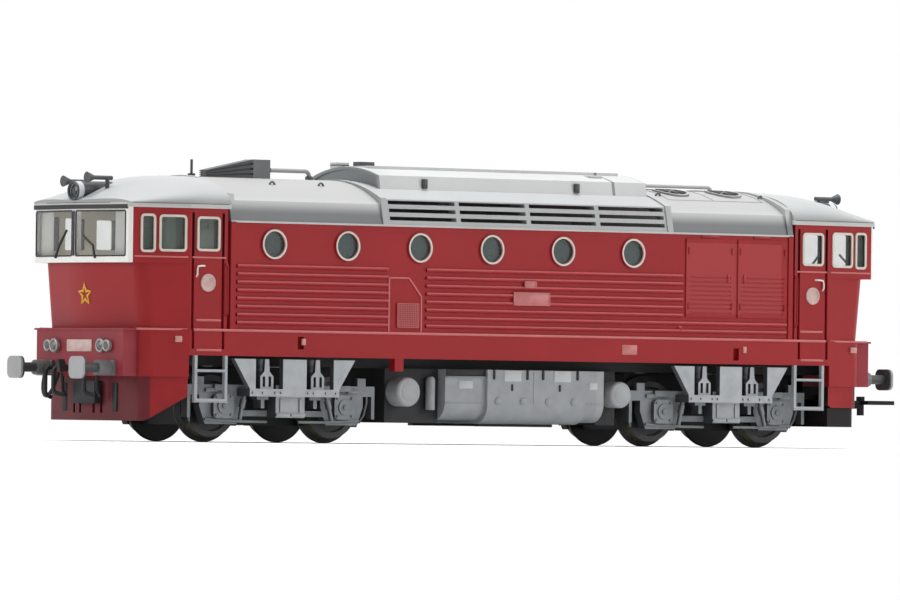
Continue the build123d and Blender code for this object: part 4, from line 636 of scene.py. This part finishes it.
# Main roof: grey mouldings between the cabs, sprayed matt, with a drip gutter along each
# side, lifting eyes of bent wire and the seams of the cooler lid. The flanks are dark low down,
# partly as painted shade, and lighten smoothly up to the shoulder as painted light, and the
# gutters are paler as a painted highlight.
roof_grey = sprayed("roof_grey", (0.135, 0.14, 0.145), 0.5, mottle=0.05, patch=12.0)
roof_tree = roof_grey.node_tree
roof_height = axes_on(roof_tree)["Z"]
for low, high, painted_light_tone in ((42.4, 45.0, (0.46, 0.465, 0.465)), (44.8, 46.0, (0.43, 0.435, 0.43))):
    repaint(roof_grey, spread(roof_tree, roof_height, low * MM, high * MM, ease="SMOOTHSTEP"), painted_light_tone)
grille_grey = sprayed(
    "grille_grey", (0.34, 0.35, 0.352), 0.5, mottle=0.05, patch=12.0, dust_and_top_light=0.5, dust_and_top_light_colour=dust_and_top_light_cool)
gutter_highlight = sprayed("gutter_highlight", (0.47, 0.46, 0.45), 0.5)
eye_wire = sprayed("eye_wire", (0.09, 0.092, 0.095), 0.5)
finish_nodes(roof_grey, "roof_front", "roof_rear", "roof_pipe")
finish_nodes(grille_grey, "roof_middle")
gutter_end, gutter_y, gutter_z = 66.4, 17.3, 40.85
gutter = [swept(((-gutter_end, gutter_y, gutter_z), (gutter_end, gutter_y, gutter_z)), flat_bar(0.3, 0.36))]
new_piece("roof_gutters", mirrored(gutter, 1), gutter_highlight)
roof_radius, roof_crown = 30.1, 49.4


def roof_z(y):
    """Height of the plain roof at this y: the crown less the arc's fall."""
    return roof_crown - (roof_radius - np.sqrt(roof_radius**2 - np.asarray(y, float) ** 2))


eye_turn, eye_y, eye_half, eye_rise, eye_sunk = np.linspace(0, pi, 9), 8.8, 0.6, 0.7, 0.2
eyes = []
for eye_x in (-51.1, -39.9, 39.9, 65.0):
    eye_path = np.column_stack((
        eye_x + eye_half * np.cos(eye_turn), np.full(9, eye_y),
        roof_z(eye_y) + eye_rise * np.sin(eye_turn) - eye_sunk))
    eyes.append(swept(eye_path, round_bar(0.2, 8), lift=outward_y))
lid_x0, lid_mid, lid_x1, lid_y, lid_bar = 41.0, 52.0, 63.7, 11.0, flat_bar(0.2, 0.2)
seam_y, across = np.full(2, lid_y), np.linspace(-lid_y, lid_y, 23)
lid_lines = [swept(np.column_stack(((lid_x0, lid_x1), seam_y, roof_z(seam_y))), lid_bar)]
for seam_x in (lid_x0, lid_mid, lid_x1):
    seam_path = np.column_stack((np.full(23, seam_x), across, roof_z(across)))
    lid_lines.append(swept(seam_path, lid_bar, lift=along_x))
new_piece("roof_eyes", mirrored(eyes, 1), eye_wire)
new_piece("roof_lid_seams", lid_lines + mirrored(lid_lines[:1], 1)[1:], roof_grey)

# Raised hood: an arched moulding with a long lid, held to the roof by tabs. Two vent lids
# are dark, and a small lid lies on each rear flank.
# The hood's end faces are a darker grey, partly their own paint and partly painted shade.
hood_grey = sprayed(
    "hood_grey", (0.57, 0.575, 0.575), 0.5, mottle=0.05, patch=12.0,
    bands=(("X", 27.5, 28.2, (0.21, 0.225, 0.23)),))
fitting_tone = (0.055, 0.058, 0.062)
fitting_dark = sprayed("fitting_dark", fitting_tone, 0.48)
finish_nodes(hood_grey, "roof_hood")
hood_tabs = [slab((x, 10.7, 49.0), (1.2, 0.5, 1.8)) for x in (-17.2, 18.8)]
flank_lid = [slab((25.7, 6.5, 51.45), (3.2, 2.4, 0.4), axis=2)]
vent_lids = [slab((-23.6, 0, 52.6), (3.4, 2.4, 1.0), axis=2)]
vent_lids += [slab((-25.6, 5.0, 52.5), (3.0, 2.4, 0.2), axis=2)]
new_piece("hood_clips", mirrored(hood_tabs, 1), motor_grey)
new_piece("hood_flank_lids", mirrored(flank_lid, 1), hood_grey)
new_piece("hood_vent_lids", vent_lids, fitting_dark)

# Exhaust silencer: a wedge of dark slats that rises to a square box, then a grey pipe that
# drops into the roof through a collar.
slat_grey, pipe_grey = (0.13, 0.135, 0.14), (0.33, 0.335, 0.335)
silencer_dark = sprayed(
    "silencer_dark", fitting_tone, 0.5, dust_and_top_light=0.1,
    bands=(("X", 46.1, 50.2, slat_grey), ("X", 30.0, 46.1, pipe_grey)))
finish_nodes(silencer_dark, "exhaust_silencer")
collar = ((0, 0.75), (0.7, 0.75), (0.9, 0.6), (0.9, 0.1))
collars = [turned(collar, (-36.3, 0, 49.2), upward_z, 20), turned(collar, (-46.4, 0, 51.0), along_x, 20)]
new_piece("exhaust_collars", collars, fitting_dark)

# Roof fans: round moulded guards pressed over dark openings in the cooler lid. Their rims
# are the grey of the roof.
fan_paint = sprayed("fan_paint", (0.235, 0.24, 0.245), 0.5, dust_and_top_light=0.5)
fan_dark, fan_x, fan_y, fan_radius = (0.06, 0.062, 0.065), (45.6, 58.4), 5.4, 3.1
fan_tree = fan_paint.node_tree
fan_flat = vector_sum(fan_tree, "MULTIPLY", vector_sum(fan_tree, "ABSOLUTE", place_on(fan_tree)), (1, 1, 0))
fan_away = measured(fan_tree, "MINIMUM", *(
    vector_sum(fan_tree, "DISTANCE", fan_flat, (x * MM, fan_y * MM, 0), result="Value") for x in fan_x))
repaint(fan_paint, measured(fan_tree, "LESS_THAN", fan_away, fan_radius * MM), fan_dark)
finish_nodes(fan_paint, "roof_fans")

# Aerial, horns and top lamps: dark plastic fittings pressed into holes in the roofs. Each
# top lamp has a dark lens in a round rim.
lamp_dark = sprayed("lamp_dark", (0.045, 0.048, 0.052), 0.48, bands=(("X", 88.5, 89.7, (0.60, 0.62, 0.66)),))
lens_dark = glazing("lens_dark", (0.03, 0.032, 0.036), 0.9)
finish_nodes(fitting_dark, "aerial", "horns_front", "horns_rear")
finish_nodes(lamp_dark, "top_lamp_front", "top_lamp_rear")
full_turn, rim_section = np.linspace(0, 2 * pi, 32, endpoint=False), round_bar(0.22, 8)


def lamp_rim_ring(x, y, z, radius):
    """A round wire carried in a circle that faces along X."""
    path = np.column_stack((np.full(32, x), y + radius * np.cos(full_turn), z + radius * np.sin(full_turn)))
    return swept(path, rim_section, closed=True, lift=along_x)


top_lamp_z, top_lens = 46.1, ((-0.3, 1.3), (0.0, 1.3), (0.2, 1.0), (0.3, 0.5), (0.32, 0.05))
top_lenses = [turned(top_lens, (89.5, 0, top_lamp_z), along_x)]
top_rims = [lamp_rim_ring(89.9, 0, top_lamp_z, 1.6)]
new_piece("top_lamp_lenses", mirrored(top_lenses, 0), lens_dark)
new_piece("top_lamp_rims", mirrored(top_rims, 0), fitting_dark)

# Lamp boxes and marker lamps: red boxes on the nose with four round lamps in bright rims
# and a plain centre plate, left blank.
beam_red = sprayed("beam_red", (0.25, 0.03, 0.04), 0.42, mottle=0.08, patch=5.0, shine=red_shine)
lamp_rim = sprayed("lamp_rim", (0.34, 0.31, 0.31), 0.35, metallic=0.2)
lens_glass = glazing("lens_glass", (0.13, 0.13, 0.125), 0.9)
plate_pale = sprayed("plate_pale", (0.58, 0.42, 0.39), 0.45, mottle=0.12, patch=1.5)
finish_nodes(beam_red, "buffer_beam_front", "buffer_beam_rear")
finish_nodes(lamp_rim, "marker_lamps_front", "marker_lamps_rear")
marker_x, marker_z, rim_wall = 88.7, 17.6, 0.25
marker_lenses, marker_rims = [], []
for marker_y, marker_radius in ((7.5, 1.1), (9.6, 0.9)):
    lens_reach = marker_radius - rim_wall
    lens = ((-0.2, lens_reach), (0.1, lens_reach), (0.25, 0.5), (0.28, 0.05))
    marker_lenses.append(turned(lens, (marker_x, marker_y, marker_z), along_x))
    marker_rims.append(lamp_rim_ring(marker_x, marker_y, marker_z, marker_radius))
centre_plate = [slab((88.05, 0, marker_z), (0.3, 8.0, 2.2), axis=0)]
new_piece("marker_lenses", mirrored(marker_lenses, 0, 1), lens_glass)
new_piece("marker_rims", mirrored(marker_rims, 0, 1), lamp_rim)
new_piece("beam_plates", mirrored(centre_plate, 0), plate_pale)

# Buffers: sprung on the real type, here one moulding each with grey heads, dark grey sleeves
# and a black stem. The sleeves and stems are dark partly by their own blackening and partly as
# painted shade.
sleeve_grey_and_shade, stem_black_and_shade = (0.15, 0.155, 0.16), (0.05, 0.052, 0.055)
buffer_grey = sprayed(
    "buffer_grey", (0.33, 0.335, 0.34), 0.45,
    bands=(("X", 87.9, 91.25, sleeve_grey_and_shade), ("X", 91.25, 95.3, stem_black_and_shade)))
finish_nodes(buffer_grey, "buffers_front", "buffers_rear")

# Couplings and hoses: a fixed hook in front with hoses of bent wire, pressed into the lamp
# box and the pilot, and a plastic loop behind, all blackened.
coupler_black = sprayed("coupler_black", (0.009, 0.007, 0.007), 0.6, shine=0.2)
finish_nodes(black_casting, "front_coupling")
finish_nodes(coupler_black, "rear_coupler")
hose_turn = np.linspace(0, pi, 13)
hose_x, hose_y, hose_z, hose_bulge, hose_half, hose_drop = -88.6, 8.2, 12.6, 1.2, 2.2, 4.4
hose_loop = np.column_stack((
    hose_x - hose_bulge * np.sin(hose_turn), hose_y - hose_half * np.cos(hose_turn),
    hose_z - hose_drop * np.sin(hose_turn)))
front_pieces = [swept(hose_loop, round_bar(0.34, 10), lift=(1, 0, 0.2))]
front_pieces += [slab((-86.9, -1.0, 9.0), (1.6, 7.0, 4.2), axis=0)]
for y in (5.6, -5.6):
    short_hose = ((-87.2, y, 13.4), (-87.9, y, 12.4), (-87.9, y, 9.4), (-87.2, y, 8.2))
    front_pieces.append(swept(short_hose, round_bar(0.3, 10), lift=outward_y))
front_pieces += [slab((84.6, 0, 9.2), (0.5, 5.0, 2.4), axis=0)]
new_piece("coupling_fittings", front_pieces, black_casting)

# Stage: a pale matt floor under the wheels. It keeps the model's shadow and turns to plain
# white further off, so that it meets the backdrop unseen.
floor_reach, fade_near, fade_far, fade_squeeze = 9.0, 0.045, 0.17, (0.55, 1, 0)
floor_mesh = bpy.data.meshes.new("floor")
floor_corners = np.array(((-1, -1, 0), (1, -1, 0), (1, 1, 0), (-1, 1, 0))) * floor_reach
floor_mesh.from_pydata(floor_corners.tolist(), [], [(0, 1, 2, 3)])
floor = bpy.data.objects.new("floor", floor_mesh)
bpy.context.collection.objects.link(floor)
floor_paint = bpy.data.materials.new("floor_paint")
floor_paint.use_nodes = True
floor_tree = floor_paint.node_tree
floor_shader = floor_tree.nodes["Principled BSDF"]
floor_values = {"Base Color": (0.88, 0.88, 0.88, 1), "Roughness": 0.9, "Specular IOR Level": 0.1}
for socket, value in floor_values.items():
    floor_shader.inputs[socket].default_value = value


def shown_rays(tree):
    """Socket that is one for rays that show a surface: straight, mirrored or through glass."""
    rays = tree.nodes.new("ShaderNodeLightPath").outputs
    mirror_too = measured(tree, "MAXIMUM", rays["Is Camera Ray"], rays["Is Glossy Ray"])
    return measured(tree, "MAXIMUM", mirror_too, rays["Is Transmission Ray"])


floor_flat = vector_sum(floor_tree, "MULTIPLY", place_on(floor_tree), fade_squeeze)
floor_away = vector_sum(floor_tree, "LENGTH", floor_flat, result="Value")
floor_fade = spread(floor_tree, floor_away, fade_near, fade_far, ease="SMOOTHSTEP")
floor_white = floor_tree.nodes.new("ShaderNodeEmission").outputs["Emission"]
floor_seen = measured(floor_tree, "MULTIPLY", shown_rays(floor_tree), floor_fade)
floor_look = shading_node(
    floor_tree, "MixShader", {"Fac": floor_seen, 1: floor_shader.outputs["BSDF"], 2: floor_white})
floor_tree.links.new(floor_look.outputs["Shader"], floor_tree.nodes["Material Output"].inputs["Surface"])
floor_mesh.materials.append(floor_paint)

# Studio: an even dim surround with a white backdrop behind it. Soft boxes hang above the
# model, beside its rear end and beyond its nose.
surround_strength, backdrop_strength, studio_white = 0.27, 1.0, (1, 1, 1, 1)
world = bpy.data.worlds.new("studio")
bpy.context.scene.world = world
world.use_nodes = True
world_tree = world.node_tree
surround = world_tree.nodes["Background"]
surround.inputs["Color"].default_value = studio_white
surround.inputs["Strength"].default_value = surround_strength
backdrop = shading_node(world_tree, "Background", {"Color": studio_white, "Strength": backdrop_strength})
world_look = shading_node(world_tree, "MixShader", {
    "Fac": shown_rays(world_tree), 1: surround.outputs["Background"], 2: backdrop.outputs["Background"]})
world_tree.links.new(world_look.outputs["Shader"], world_tree.nodes["World Output"].inputs["Surface"])


def soft_lamp(name, place, aim, size, power):
    """A square soft box at a place in metres, turned towards its aim."""
    lamp = bpy.data.lights.new(name, "AREA")
    lamp.size = size
    lamp.energy = power
    holder = bpy.data.objects.new(name, lamp)
    turn = (Vector(aim) - Vector(place)).to_track_quat("-Z", "Y")
    holder.matrix_world = Matrix.Translation(place) @ turn.to_matrix().to_4x4()
    bpy.context.collection.objects.link(holder)


soft_lamp("key_lamp", place=(0.46, -0.46, 0.3), aim=(0.04, 0, 0.03), size=0.34, power=1.5)
soft_lamp("top_lamp", place=(0.05, 0.0, 1.0), aim=(0, 0, 0.03), size=0.7, power=11.5)
soft_lamp("nose_lamp", place=(-0.9, 0.4, 0.28), aim=(-0.09, 0, 0.03), size=0.4, power=3.0)

# Camera: a long lens near the floor, off the front corner of the near side. Its place, turns
# and focal length were worked out from the wheels, buffers and portholes.
camera_place = Vector((-1111.1, -1489.7, 6.0)) * MM
camera_yaw, camera_pitch, camera_roll = radians(36.645), radians(0.661), radians(0.726)
focal_px, frame_px, sensor_mm, far_limit = 9780.0, 900.0, 36.0, 50.0
camera = bpy.data.cameras.new("camera")
camera.sensor_width = sensor_mm
camera.lens = focal_px / frame_px * sensor_mm
camera.clip_end = far_limit
look = Vector((sin(camera_yaw) * cos(camera_pitch), cos(camera_yaw) * cos(camera_pitch), sin(camera_pitch)))
level = look.cross(Vector((0, 0, 1))).normalized()
upright = level.cross(look)
right = level * cos(camera_roll) + upright * sin(camera_roll)
up = upright * cos(camera_roll) - level * sin(camera_roll)
camera_holder = bpy.data.objects.new("camera", camera)
camera_turn = Matrix((right, up, -look)).transposed().to_4x4()
camera_holder.matrix_world = Matrix.Translation(camera_place) @ camera_turn
bpy.context.collection.objects.link(camera_holder)
bpy.context.scene.camera = camera_holder
bpy.context.scene.view_settings.view_transform = "Standard"
